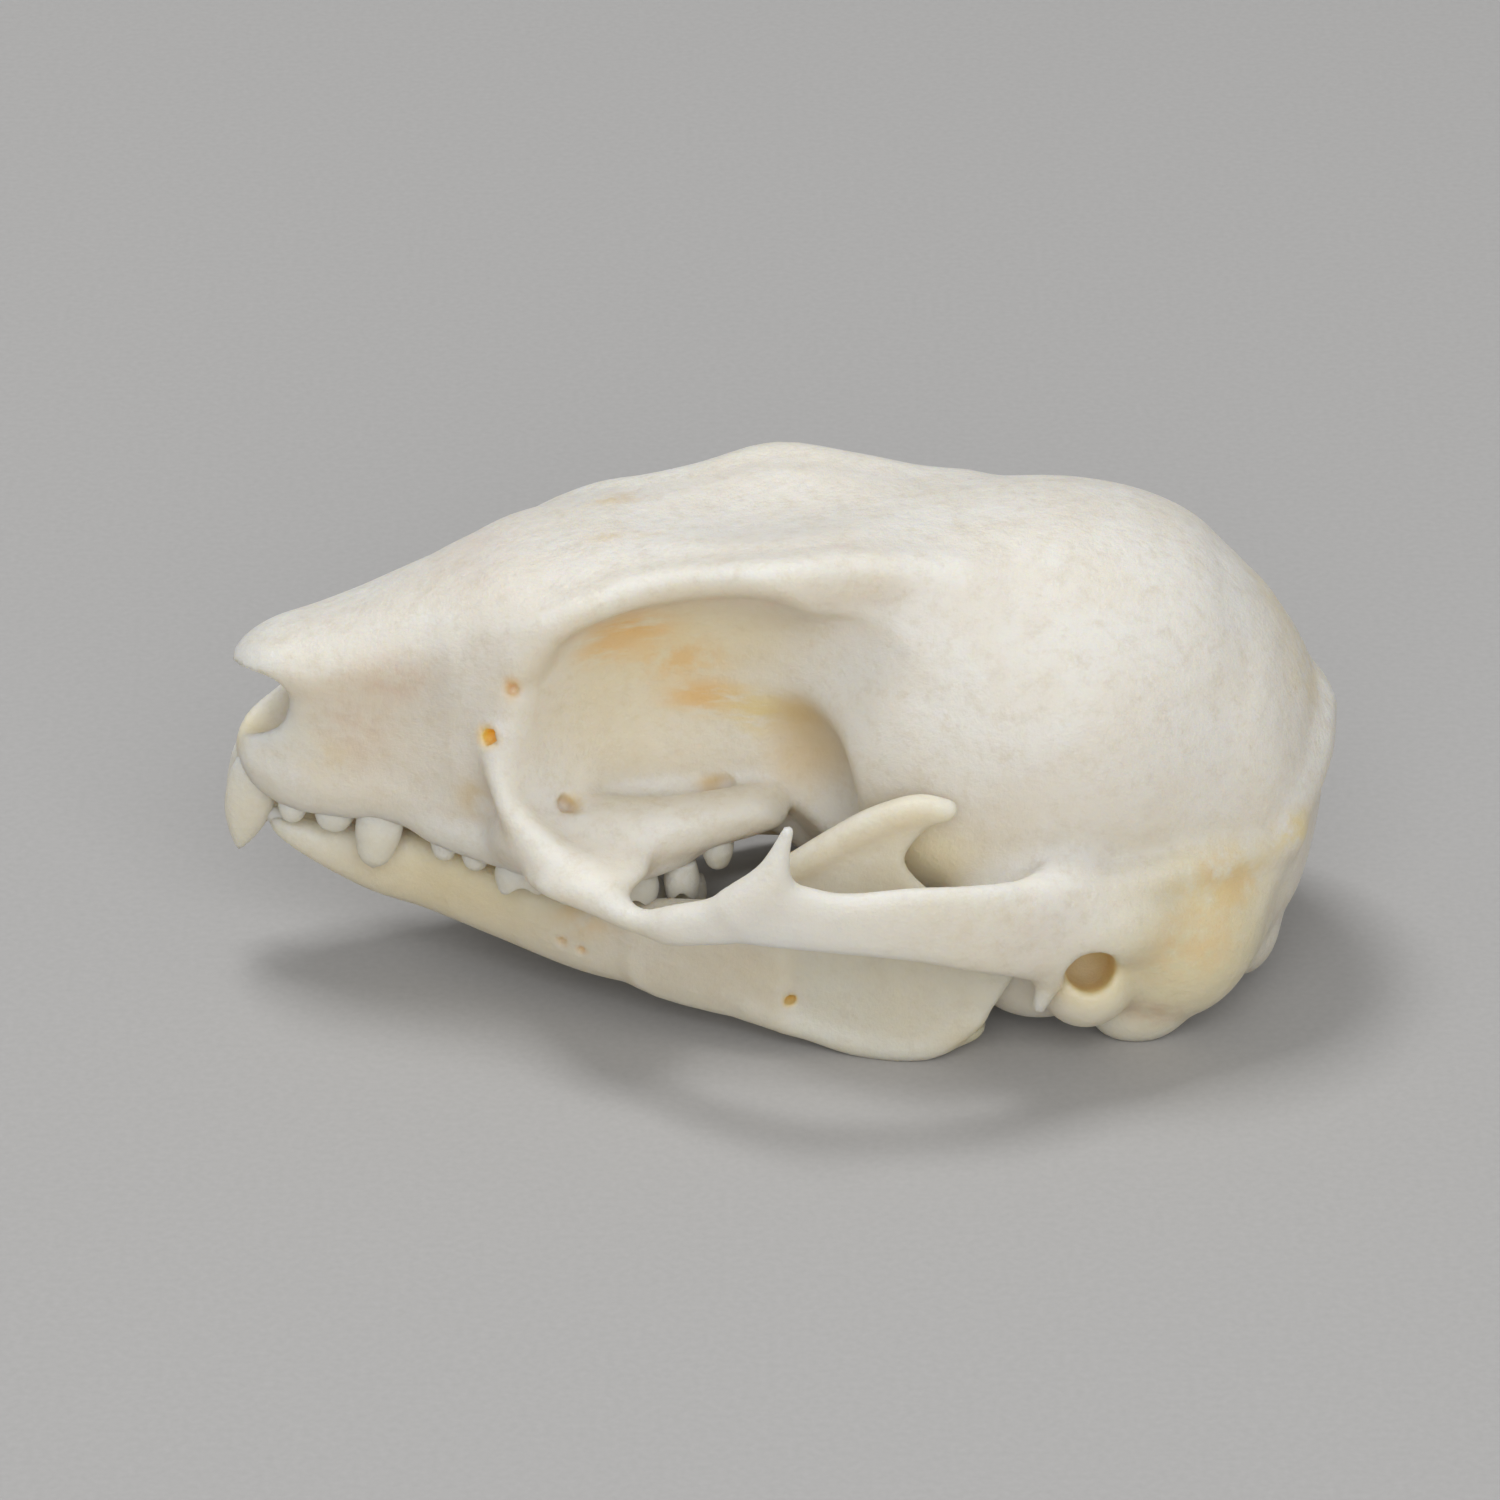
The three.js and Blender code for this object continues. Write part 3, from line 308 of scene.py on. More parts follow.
nasals = loft(
    [
        (SNOUT_X, 0, 11.5, 0.6, 0.25),
        (-19.7, 0, 11.7, 0.85, 0.28),
        (-19.2, 0, 11.95, 1.1, 0.33),
        (-18.4, 0, 12.25, 1.4, 0.45),
        (-17, 0, 12.35, 1.9, 0.7),
        (-12, 0, 13.8, 2.6, 1.1),
    ],
    2,
    0.1,
    0.3,
)
palate = loft(
    [
        (-19.4, 0, 7.9, 1.1, 0.6),
        (-18, 0, 7.45, 2.0, 0.95),
        (-16.5, 0, 7.35, 2.6, 1.05),
        (-14.8, 0, 7.4, 3.0, 1.2),
        (-12, 0, 7.1, 3.6, 1.3),
        (-9.5, 0, 6.9, 4.7, 1.3),
        (-7, 0, 6.9, 5.5, 1.2),
        (-4.5, 0, 7.1, 5.7, 1.2),
        (-2, 0, 7.5, 5.2, 1.0),
        (-0.6, 0, 7.8, 4.4, 0.8),
    ],
    3,
)
alveolus = loft(
    [
        (-13.2, 2.7, 6.7, 0.5, 0.6),
        (-11.8, 3.3, 6.4, 0.65, 0.65),
        (-10.2, 4.1, 6.3, 0.75, 0.7),
        (-9.3, 4.5, 6.25, 0.8, 0.7),
        (-7.2, 5.2, 6.3, 0.85, 0.7),
        (-5.2, 5.4, 6.5, 0.8, 0.7),
        (-3.6, 5.05, 6.8, 0.75, 0.6),
        (-2.6, 4.7, 7.1, 0.5, 0.4),
    ],
    2.5,
)
shelf = loft(
    [
        (-8.4, 4.6, 7.1, 1.1, 1.0),
        (-7, 4.8, 7.35, 1.2, 1.1),
        (-5.5, 5.0, 7.4, 1.3, 1.1),
        (-4, 5.0, 7.5, 1.25, 1.05),
        (-2.4, 4.7, 7.75, 1.15, 0.9),
        (-0.6, 4.2, 7.9, 1.0, 0.75),
        (0.4, 3.8, 7.9, 0.8, 0.6),
    ],
    2.4,
)
skull_base = loft(
    [
        (-1.5, 0, 7.2, 2.2, 1.4),
        (2, 0, 6.2, 2.4, 1.6),
        (7, 0, 4.6, 3.2, 1.8),
        (12, 0, 3.6, 4.0, 2.0),
        (17, 0, 3.2, 4.0, 1.8),
    ],
    2.5,
)
occiput = superellipsoid((15.5, 0, 7.0), (3.8, 6.4, 5.7), 2.4)
nape = superellipsoid((15.0, 0, 8.3), (4.2, 5.9, 4.2), 2.5)
condyle = ellipsoid((16.85, 2.9, 2.1), (1.1, 1.2, 1.7), -15)
mastoid = ellipsoid((13.7, 6.2, 4.3), (3.3, 2.7, 3.7))
paroccipital = ellipsoid((12.7, 6.8, 0.85), (1.6, 0.9, 1.0))
squamosal = ellipsoid((9.8, 8.5, 5.8), (3.8, 2.1, 2.1))
lambda_crest = rod(
    [
        (19.4, 0, 9.9, 0.5),
        (19.1, 2.5, 9.4, 0.45),
        (18.2, 4.4, 8.4, 0.4),
        (17.4, 5.2, 7.2, 0.4),
        (16.4, 6.2, 5.4, 0.4),
        (15.2, 6.9, 4.0, 0.4),
    ]
)
ear_crest = rod(
    [
        (18.0, 5.2, 7.4, 0.4),
        (16, 6.9, 7.5, 0.35),
        (14.1, 8.0, 7.5, 0.35),
        (12.7, 8.6, 7.4, 0.35),
        (10.1, 9.5, 7.2, 0.35),
        (8.6, 10.3, 7.2, 0.35),
    ]
)
temporal_line = rod(
    [
        (-9.1, 4.2, 13.9, 0.25),
        (-8.1, 4.4, 15.15, 0.28),
        (-6.6, 4.4, 15.95, 0.3),
        (-4.8, 3.95, 16.45, 0.3),
        (-3, 4.05, 16.85, 0.3),
        (-0.25, 4.65, 17.37, 0.32),
        (2.5, 3.95, 17.22, 0.34),
        (5, 3.45, 16.8, 0.35),
        (7.9, 3.3, 16.2, 0.35),
    ]
)
pterygoid = rod([(-0.8, 2.3, 7.2, 0.5), (1.6, 2.3, 5.2, 0.5), (3.4, 2.5, 4.4, 0.5)])
orbit = superellipsoid((-3.2, 9.8, 12.2), (7.4, 7.0, 6.1), 2.5, rear=5.4)
orbit_recess = ellipsoid((0.7, 4.9, 9.9), (3.0, 2.0, 1.7), -57)
nostril = ellipsoid((-19.4, 0, 10.55), (2.1, 3.5, 1.2), 35)
nasal_notch = superellipsoid((-20.2, 0, 10.5), (2.2, 3.5, 0.9), 3)
nasal_passage = ellipsoid((-17.2, 0, 10.2), (3.6, 1.5, 1.6))
spinal_opening = ellipsoid((19.8, 0, 4.2), (3.6, 2.3, 2.0))
brow_hollow = ellipsoid((-1.5, 0, RIM_HEIGHT + 1.7), (5.5, 2.8, 1.6))
cheek_ridge = rod(
    [
        (-10.2, 4.75, 11.0, 0.2),
        (-10.2, 5.2, 9.9, 0.24),
        (-9.7, 6.0, 8.7, 0.3),
        (-8.2, 7.2, 7.55, 0.36),
        (-6.8, 8.4, 6.75, 0.42),
        (-5.4, 9.6, 6.4, 0.45),
        (-3.9, 10.6, 6.6, 0.45),
        (-2.4, 11.2, 7.1, 0.45),
    ]
)
cheek_root = ellipsoid((-8.4, 5.2, 7.7), (1.9, 1.6, 1.1), 30)
cheek_web = ellipsoid((-6.9, 7.1, 6.9), (2.1, 1.8, 0.65), 5)
cheek_plate = loft(
    [
        (-4.4, 10.5, 6.6, 0.45, 0.5),
        (-2.4, ARCH_Y - 0.5, 7.3, 0.5, 0.75),
        (-0.3, ARCH_Y, 7.8, 0.5, 1.25),
        (2, ARCH_Y + 0.1, 7.5, 0.5, 1.15),
        (4.5, ARCH_Y, 7.4, 0.5, 1.4),
        (7, ARCH_Y - 0.6, 6.9, 0.55, 1.7),
        (9, ARCH_Y - 1.8, 6.3, 0.9, 1.9),
        (10.8, ARCH_Y - 3.2, 6.2, 1.3, 1.8),
    ],
    2.6,
)
horn = rod([(-1.6, ARCH_Y - 0.2, 8.0, 0.6), (-0.5, ARCH_Y, 9.3, 0.45), (0.15, ARCH_Y, 11.1, 0.2)])
postglenoid = rod([(9.7, 9.9, 5.2, 0.7), (9.4, 9.85, 3.9, 0.42), (9.1, 9.8, 2.95, 0.27)])
bulla = ellipsoid((9.2, 6.0, 2.9), (2.7, 2.2, 2.3))
ear_tube = rod([(10.3, 6.2, 3.2, 1.5), (EAR_X - 0.1, EAR_Y - 1.0, 3.1, 1.75)])
ear_hole = rod(
    [
        (EAR_X, EAR_Y + 1, EAR_Z + 0.4, EAR_RADIUS),
        (EAR_X, EAR_Y, EAR_Z + 0.1, EAR_RADIUS - 0.05),
        (EAR_X - 0.1, EAR_Y - 1.0, EAR_Z - 0.3, EAR_RADIUS - 0.1),
    ]
)

# Small pits where nerves and vessels pass: two in front of the orbit and two in its floor
FORAMINA = [
    rod([(-9.7, 5.2, 13.4, 0.16), (-9.55, 4.6, 12.85, 0.2)]),
    ellipsoid((-10.33, 4.75, 11.05), (0.34, 0.35, 0.36)),
    rod([(-7.0, 5.4, 8.6, 0.2), (-7.8, 4.8, 8.35, 0.32)]),
    rod([(-3.1, 3.6, 8.4, 0.25), (-2.0, 3.3, 8.4, 0.28)]),
]


def cranium(x, y, z):
    """The parts of the cranium, joined and cut in order, with the width over which each is blended."""
    side = np.abs(y)

    def at(field):
        return field(x, side, z)

    d = join(at(braincase), join(at(crown), at(forehead), 0.6), 1.6)
    d = join(d, at(orbit_wall), 1.6)
    d = join(d, at(muzzle), 1.6)
    d = join(d, at(nasals), 0.8)
    d = join(d, at(palate), 0.8)
    d = join(d, at(alveolus), 0.6)
    d = join(d, at(cheek_root), 1.0)
    d = join(d, join(at(occiput), at(nape), 1.0), 1.6)
    d = cut(d, at(orbit), 0.8)
    d = join(d, at(temporal_line), 1.0)
    d = join(d, at(shelf), 0.35)
    d = cut(d, at(orbit_recess), 0.7)
    d = join(d, at(skull_base), 1.2)
    d = join(d, at(mastoid), 1.4)
    d = join(d, at(squamosal), 1.4)
    d = join(d, at(lambda_crest), 1.2)
    d = join(d, at(ear_crest), 0.9)
    d = join(d, at(pterygoid), 0.5)
    d = join(d, at(condyle), 0.5)
    d = join(d, at(paroccipital), 0.7)
    d = join(d, at(bulla), 0.5)
    d = join(d, at(ear_tube), 0.6)
    d = join(d, join(at(cheek_ridge), at(cheek_web), 1.2), 1.0)
    d = join(d, join(at(cheek_plate), at(horn), 0.8), 0.8)
    d = join(d, at(postglenoid), 0.4)
    d = cut(d, at(brow_hollow), 0.9)
    d = cut(d, join(at(nostril), at(nasal_notch), 0.6), 0.3)
    d = cut(d, at(nasal_passage), 0.4)
    d = cut(d, at(ear_hole), 0.3)
    for foramen in FORAMINA:
        d = cut(d, at(foramen), 0.15)
    return cut(d, at(spinal_opening), 0.5)


# One half of the lower jaw, also written for positive y

jaw_body = loft(
    [
        (-18.6, 0.8, 5.6, 0.4, 0.3),
        (-17.6, 0.95, 5.1, 0.6, 0.6),
        (-16.2, 1.05, 4.55, 0.7, 0.95),
        (-14.8, 1.25, 4.2, 0.8, 1.25),
        (-13, 1.7, 3.95, 0.85, 1.4),
        (-10.5, 3.0, 3.55, 0.95, 1.4),
        (-7, 4.9, 3.1, 0.95, 1.45),
        (-3.5, 6.2, 3.2, 0.9, 1.65),
        (0, 7.3, 3.1, 0.7, 1.75),
    ],
    2.4,
    0,
    0.4,
)
ramus_outline = outline(
    [
        (-5, 4.4),
        (-2.4, 5.3),
        (0.2, 7.6),
        (1.7, 8.9),
        (3.1, 10.0),
        (4.9, 10.7),
        (6.05, 10.4),
        (5.0, 9.5),
        (4.3, 8.1),
        (6.4, 6.2),
        (8.5, 6.2),
        (9.0, 5.4),
        (8.0, 3.2),
        (6.8, 1.3),
        (5.4, 0.4),
        (2.9, 0.3),
        (0.6, 0.85),
        (-5, 1.95),
    ]
)
jaw_rim = rod(
    [
        (-1, 7.2, 1.55, 0.4),
        (1.2, 7.75, 0.75, 0.4),
        (3.1, 8.15, 0.37, 0.42),
        (5.1, 8.35, 0.45, 0.4),
        (6.8, 8.4, 1.8, 0.35),
    ]
)
coronoid_rim = rod(
    [
        (-0.5, 7.8, 6.9, 0.4),
        (1.7, 8.25, 8.6, 0.4),
        (3.4, 8.7, 9.85, 0.36),
        (4.7, 8.8, 10.35, 0.3),
        (5.7, 8.85, 10.25, 0.2),
    ]
)
jaw_angle = ellipsoid((5.0, 7.0, 0.55), (2.3, 1.6, 0.6))
jaw_condyle = ellipsoid((8.6, 8.3, 5.8), (0.8, 1.5, 0.7))

# Two pits under the cheek teeth and one on the plate behind them
JAW_FORAMINA = [
    ellipsoid((-7.93, 5.4, 3.07), (0.17, 0.25, 0.15)),
    ellipsoid((-7.21, 5.75, 2.9), (0.15, 0.25, 0.13)),
    ellipsoid((0.25, 7.7, 2.08), (0.24, 0.3, 0.24)),
]


def ramus(x, y, z):
    """The plate that rises behind the teeth, which leans out and turns outwards to the back."""
    middle = 7.4 + 0.27 * np.clip(x, -5, 4) + 0.08 * np.clip(x - 4, 0, 5) + 0.03 * (z - 4)
    return meet(ramus_outline(x, z), np.abs(y - middle) - RAMUS_HALF, 0.4)


def jaw(x, y, z):
    d = join(jaw_body(x, y, z), ramus(x, y, z), 0.9)
    d = join(d, jaw_rim(x, y, z), 0.6)
    d = join(d, coronoid_rim(x, y, z), 0.6)
    d = join(d, jaw_angle(x, y, z), 0.5)
    d = join(d, jaw_condyle(x, y, z), 0.6)
    for foramen in JAW_FORAMINA:
        d = cut(d, foramen(x, y, z), 0.12)
    return meet(d, HALVES_GAP - y, 0.2)


# Meshing

BLOCK = 4  # grid cells along a block that is either measured in full or skipped
BAND = 1.3  # blocks further than this from the surface are skipped, in millimetres
SAMPLE_ARM = 0.02  # how far round a vertex its field is measured


def grid_values(field, low, size, cell):
    """The field on a grid. Blocks well off the surface hold the value at their middle."""
    blocks = [math.ceil(n / BLOCK) for n in size]
    middles = [low[a] + (np.arange(blocks[a]) + 0.5) * BLOCK * cell - cell / 2 for a in range(3)]
    gx, gy, gz = (g.ravel() for g in np.meshgrid(*middles, indexing="ij"))
    coarse = field(gx, gy, gz).reshape(blocks)
    values = coarse
    for axis in range(3):
        values = np.repeat(values, BLOCK, axis=axis)
    near = np.nonzero(np.abs(values) < BAND)
    points = [low[a] + near[a] * cell for a in range(3)]
    values[near] = field(*points)
    return values


def surface_nets(values, low, cell):
    """The surface where the grid values change sign, as one vertex a cell and one quad a crossed edge."""
    inside = values < 0
    cells = tuple(n - 1 for n in values.shape)

    def corner(array, i, j, k):
        return array[i : i + cells[0], j : j + cells[1], k : k + cells[2]]

    corners = [(i, j, k) for i in (0, 1) for j in (0, 1) for k in (0, 1)]
    count = sum(corner(inside, *c).astype(np.uint8) for c in corners)
    ijk = np.argwhere((count > 0) & (count < 8))
    at = {c: values[ijk[:, 0] + c[0], ijk[:, 1] + c[1], ijk[:, 2] + c[2]] for c in corners}
    total = np.zeros((len(ijk), 3))
    crossings = np.zeros(len(ijk))
    for a in corners:
        for axis in range(3):
            if a[axis]:
                continue
            b = tuple(1 if n == axis else a[n] for n in range(3))
            va, vb = at[a], at[b]
            crossed = (va < 0) != (vb < 0)
            t = np.where(crossed, va / np.where(crossed, va - vb, 1), 0)
            for n in range(3):
                total[:, n] += np.where(crossed, a[n] + (t if n == axis else 0), 0)
            crossings += crossed
    vertices = np.array(low) + (ijk + total / crossings[:, None]) * cell
    index = np.full(cells, -1, dtype=np.int64)
    index[tuple(ijk.T)] = np.arange(len(ijk))
    quads = []
    for axis in range(3):
        u, v = (axis + 1) % 3, (axis + 2) % 3
        first = [slice(1, -1)] * 3
        first[axis] = slice(0, -1)
        second = list(first)
        second[axis] = slice(1, None)
        start, end = inside[tuple(first)], inside[tuple(second)]
        for leaving in (True, False):
            edges = np.argwhere((start == leaving) & (end != leaving))
            edges[:, u] += 1
            edges[:, v] += 1
            ring = []
            for du, dv in ((0, 0), (1, 0), (1, 1), (0, 1)):
                cell_at = edges.copy()
                cell_at[:, u] -= du
                cell_at[:, v] -= dv
                ring.append(index[tuple(cell_at.T)])
            ring = np.stack(ring, axis=1)
            quads.append(ring if leaving else ring[:, ::-1])
    return vertices, np.concatenate(quads)


def settled(field, vertices, reach):
    """Moves vertices onto the surface of the field, by at most reach."""
    arms = np.array([(1, -1, -1), (-1, -1, 1), (-1, 1, -1), (1, 1, 1)], dtype=float)
    moved = vertices.copy()
    for _ in range(2):
        samples = [field(*(moved + arm * SAMPLE_ARM).T) for arm in arms]
        slope = sum(s[:, None] * arm for s, arm in zip(samples, arms)) / (4 * SAMPLE_ARM)
        value = sum(samples) / 4
        moved -= slope * (value / np.maximum((slope**2).sum(axis=1), 0.1))[:, None]
    step = moved - vertices
    length = np.linalg.norm(step, axis=1, keepdims=True)
    return vertices + step * np.minimum(1, reach / np.maximum(length, 1e-9))


def evened(vertices, quads):
    """Each vertex half way to the mean of its neighbours."""
    ends = np.concatenate([np.stack([quads[:, n], quads[:, (n + 1) % 4]], axis=1) for n in range(4)])
    count = np.bincount(ends[:, 0], minlength=len(vertices))
    others = vertices[ends[:, 1]].T
    sums = [np.bincount(ends[:, 0], weights=axis, minlength=len(vertices)) for axis in others]
    mean = np.stack(sums, axis=1) / np.maximum(count, 1)[:, None]
    return vertices + (mean - vertices) * 0.5


def surface(field, low, high, cell, mirrored=False):
    """Vertices and quads of the surface of a field. A mirrored one is measured for positive y alone."""
    if mirrored:
        half_low = (low[0], cell / 2, low[2])
        size = [math.ceil((high[a] - half_low[a]) / cell) + 1 for a in range(3)]
        half = grid_values(field, half_low, size, cell)
        values = np.concatenate([half[:, ::-1], half], axis=1)
        low = (low[0], cell / 2 - half.shape[1] * cell, low[2])
    else:
        size = [math.ceil((high[a] - low[a]) / cell) + 1 for a in range(3)]
        values = grid_values(field, low, size, cell)
    vertices, quads = surface_nets(values, low, cell)
    for _ in range(2):
        vertices = settled(field, evened(vertices, quads), cell * 0.5)
    return vertices, quads


def mesh_object(name, vertices, faces):
    mesh = bpy.data.meshes.new(name)
    mesh.from_pydata((np.asarray(vertices) * MM).tolist(), [], np.asarray(faces).tolist())
    mesh.validate()
    mesh.polygons.foreach_set("use_smooth", [True] * len(mesh.polygons))
    mesh.update()
    piece = bpy.data.objects.new(name, mesh)
    bpy.context.scene.collection.objects.link(piece)
    return piece


# Materials


def node(tree, kind, **values):
    made = tree.nodes.new(kind)
    for name, value in values.items():
        setattr(made, name, value)
    return made


def link(tree, source, target):
    tree.links.new(source, target)


PATCHY, STREAKY, EVEN = "patchy", "streaky", "even"
STREAK_TILT = math.radians(28)
STREAK_SHAPE = (0.35, 0.6, 1.3)
SCATTER_RADIUS = (1.0, 0.78, 0.45)
SCATTER_DEPTH = 2.2
BUMP_STRENGTH = 0.45
BUMP_HEIGHT = 0.1
BONE_IOR = 1.5
SMOOTHEST, ROUGHEST = 0.34, 0.5


def bone_material(name, base, pale, stains_and_painted_light, translucency):
    """Bone with marks of real stain and of painted light and shade, each given as (centre, radii, tint,
    strength, spread) in millimetres.
    """
    material = bpy.data.materials.new(name)
    material.use_nodes = True
    tree = material.node_tree
    shader = tree.nodes["Principled BSDF"]
    coords = node(tree, "ShaderNodeTexCoord")
    where = node(tree, "ShaderNodeVectorMath", operation="SCALE")
    link(tree, coords.outputs["Object"], where.inputs[0])
    where.inputs["Scale"].default_value = 1 / MM

    slanted = node(tree, "ShaderNodeMapping")
    link(tree, where.outputs[0], slanted.inputs["Vector"])
    slanted.inputs["Rotation"].default_value = (0, STREAK_TILT, 0)
    slanted.inputs["Scale"].default_value = STREAK_SHAPE

    def noise(scale, detail, roughness=0.5, along=where.outputs[0]):
        made = node(tree, "ShaderNodeTexNoise")
        link(tree, along, made.inputs["Vector"])
        made.inputs["Scale"].default_value = scale
        made.inputs["Detail"].default_value = detail
        made.inputs["Roughness"].default_value = roughness
        return made.outputs["Fac"]

    def ramp(value, low, high, out_low=0.0, out_high=1.0):
        made = node(tree, "ShaderNodeMapRange", interpolation_type="SMOOTHSTEP")
        link(tree, value, made.inputs["Value"])
        made.inputs["From Min"].default_value = low
        made.inputs["From Max"].default_value = high
        made.inputs["To Min"].default_value = out_low
        made.inputs["To Max"].default_value = out_high
        return made.outputs["Result"]

    def times(a, b):
        made = node(tree, "ShaderNodeMath", operation="MULTIPLY")
        link(tree, a, made.inputs[0])
        link(tree, b, made.inputs[1])
        return made.outputs[0]

    def mixed(colour, other, amount):
        made = node(tree, "ShaderNodeMix", data_type="RGBA")
        link(tree, colour, made.inputs["A"])
        made.inputs["B"].default_value = (*other, 1)
        link(tree, amount, made.inputs["Factor"])
        return made.outputs["Result"]

    start = node(tree, "ShaderNodeMix", data_type="RGBA")
    start.inputs["A"].default_value = (*base, 1)
    start.inputs["B"].default_value = (*pale, 1)
    link(tree, ramp(noise(0.35, 4), 0.38, 0.62), start.inputs["Factor"])

    # Fine mottling, and painted warm shade on what faces sideways or down
    colour = mixed(start.outputs["Result"], MOTTLE, ramp(noise(1.6, 8, 0.75), 0.46, 0.7, 0.0, 0.5))
    geometry = node(tree, "ShaderNodeNewGeometry")
    facing = node(tree, "ShaderNodeSeparateXYZ")
    link(tree, geometry.outputs["Normal"], facing.inputs[0])
    colour = mixed(colour, PAINTED_SHADE_WARM, ramp(facing.outputs["Z"], 0.75, -0.6, 0.0, 0.45))

    spreads = {
        PATCHY: ramp(noise(1.1, 5, 0.6), 0.32, 0.62),
        STREAKY: ramp(noise(1.5, 5, 0.6, slanted.outputs[0]), 0.3, 0.58),
    }
    for (x, y, z), (rx, ry, rz), tint, strength, spread in stains_and_painted_light:
        offset = node(tree, "ShaderNodeVectorMath", operation="SUBTRACT")
        link(tree, where.outputs[0], offset.inputs[0])
        offset.inputs[1].default_value = (x, y, z)
        scaled = node(tree, "ShaderNodeVectorMath", operation="DIVIDE")
        link(tree, offset.outputs[0], scaled.inputs[0])
        scaled.inputs[1].default_value = (rx, ry, rz)
        length = node(tree, "ShaderNodeVectorMath", operation="LENGTH")
        link(tree, scaled.outputs[0], length.inputs[0])
        amount = ramp(length.outputs["Value"], 1.0, 0.1, 0.0, strength)
        if spread in spreads:
            amount = times(amount, spreads[spread])
        colour = mixed(colour, tint, amount)
    link(tree, colour, shader.inputs["Base Color"])

    shader.inputs["Subsurface Weight"].default_value = translucency
    shader.inputs["Subsurface Radius"].default_value = SCATTER_RADIUS
    shader.inputs["Subsurface Scale"].default_value = SCATTER_DEPTH * MM
    shader.inputs["IOR"].default_value = BONE_IOR
    gloss = ramp(noise(2.3, 3), 0.3, 0.7, SMOOTHEST, ROUGHEST)
    link(tree, gloss, shader.inputs["Roughness"])

    # Fine pores over a broader unevenness
    grain = node(tree, "ShaderNodeMath", operation="ADD")
    link(tree, ramp(noise(5.0, 6, 0.65), 0.2, 0.8, 0.0, 0.5), grain.inputs[0])
    link(tree, ramp(noise(1.3, 4, 0.5), 0.2, 0.8, 0.0, 0.9), grain.inputs[1])
    bump = node(tree, "ShaderNodeBump")
    bump.inputs["Strength"].default_value = BUMP_STRENGTH
    bump.inputs["Distance"].default_value = BUMP_HEIGHT * MM
    link(tree, grain.outputs[0], bump.inputs["Height"])
    link(tree, bump.outputs["Normal"], shader.inputs["Normal"])
    return material


MOTTLE = (0.64, 0.58, 0.47)
# Painted warm shade for surfaces that face sideways or down
PAINTED_SHADE_WARM = (0.72, 0.61, 0.42)
TAN = (0.66, 0.48, 0.22)
ORANGE = (0.77, 0.52, 0.23)
GOLD = (0.75, 0.6, 0.27)
# Painted glow for the shaded wall seen behind the coronoid
PAINTED_GLOW_GOLD = (0.9, 0.8, 0.56)
HONEY = (0.82, 0.62, 0.27)
CREAM = (0.74, 0.655, 0.4)
WHITE = (0.75, 0.735, 0.69)
PINK = (0.66, 0.44, 0.3)
GREY = (0.46, 0.41, 0.3)
# Painted shade in the shallow pits that stand for foramina
PIT_SHADE_AMBER = (0.95, 0.6, 0.06)
WHITE_BONE = (0.765, 0.73, 0.655)
PALE_BONE = (0.785, 0.765, 0.71)
JAW_BONE = (0.715, 0.665, 0.555)
PALE_JAW = (0.745, 0.705, 0.61)
ENAMEL = (0.74, 0.71, 0.62)
PALE_ENAMEL = (0.77, 0.75, 0.68)

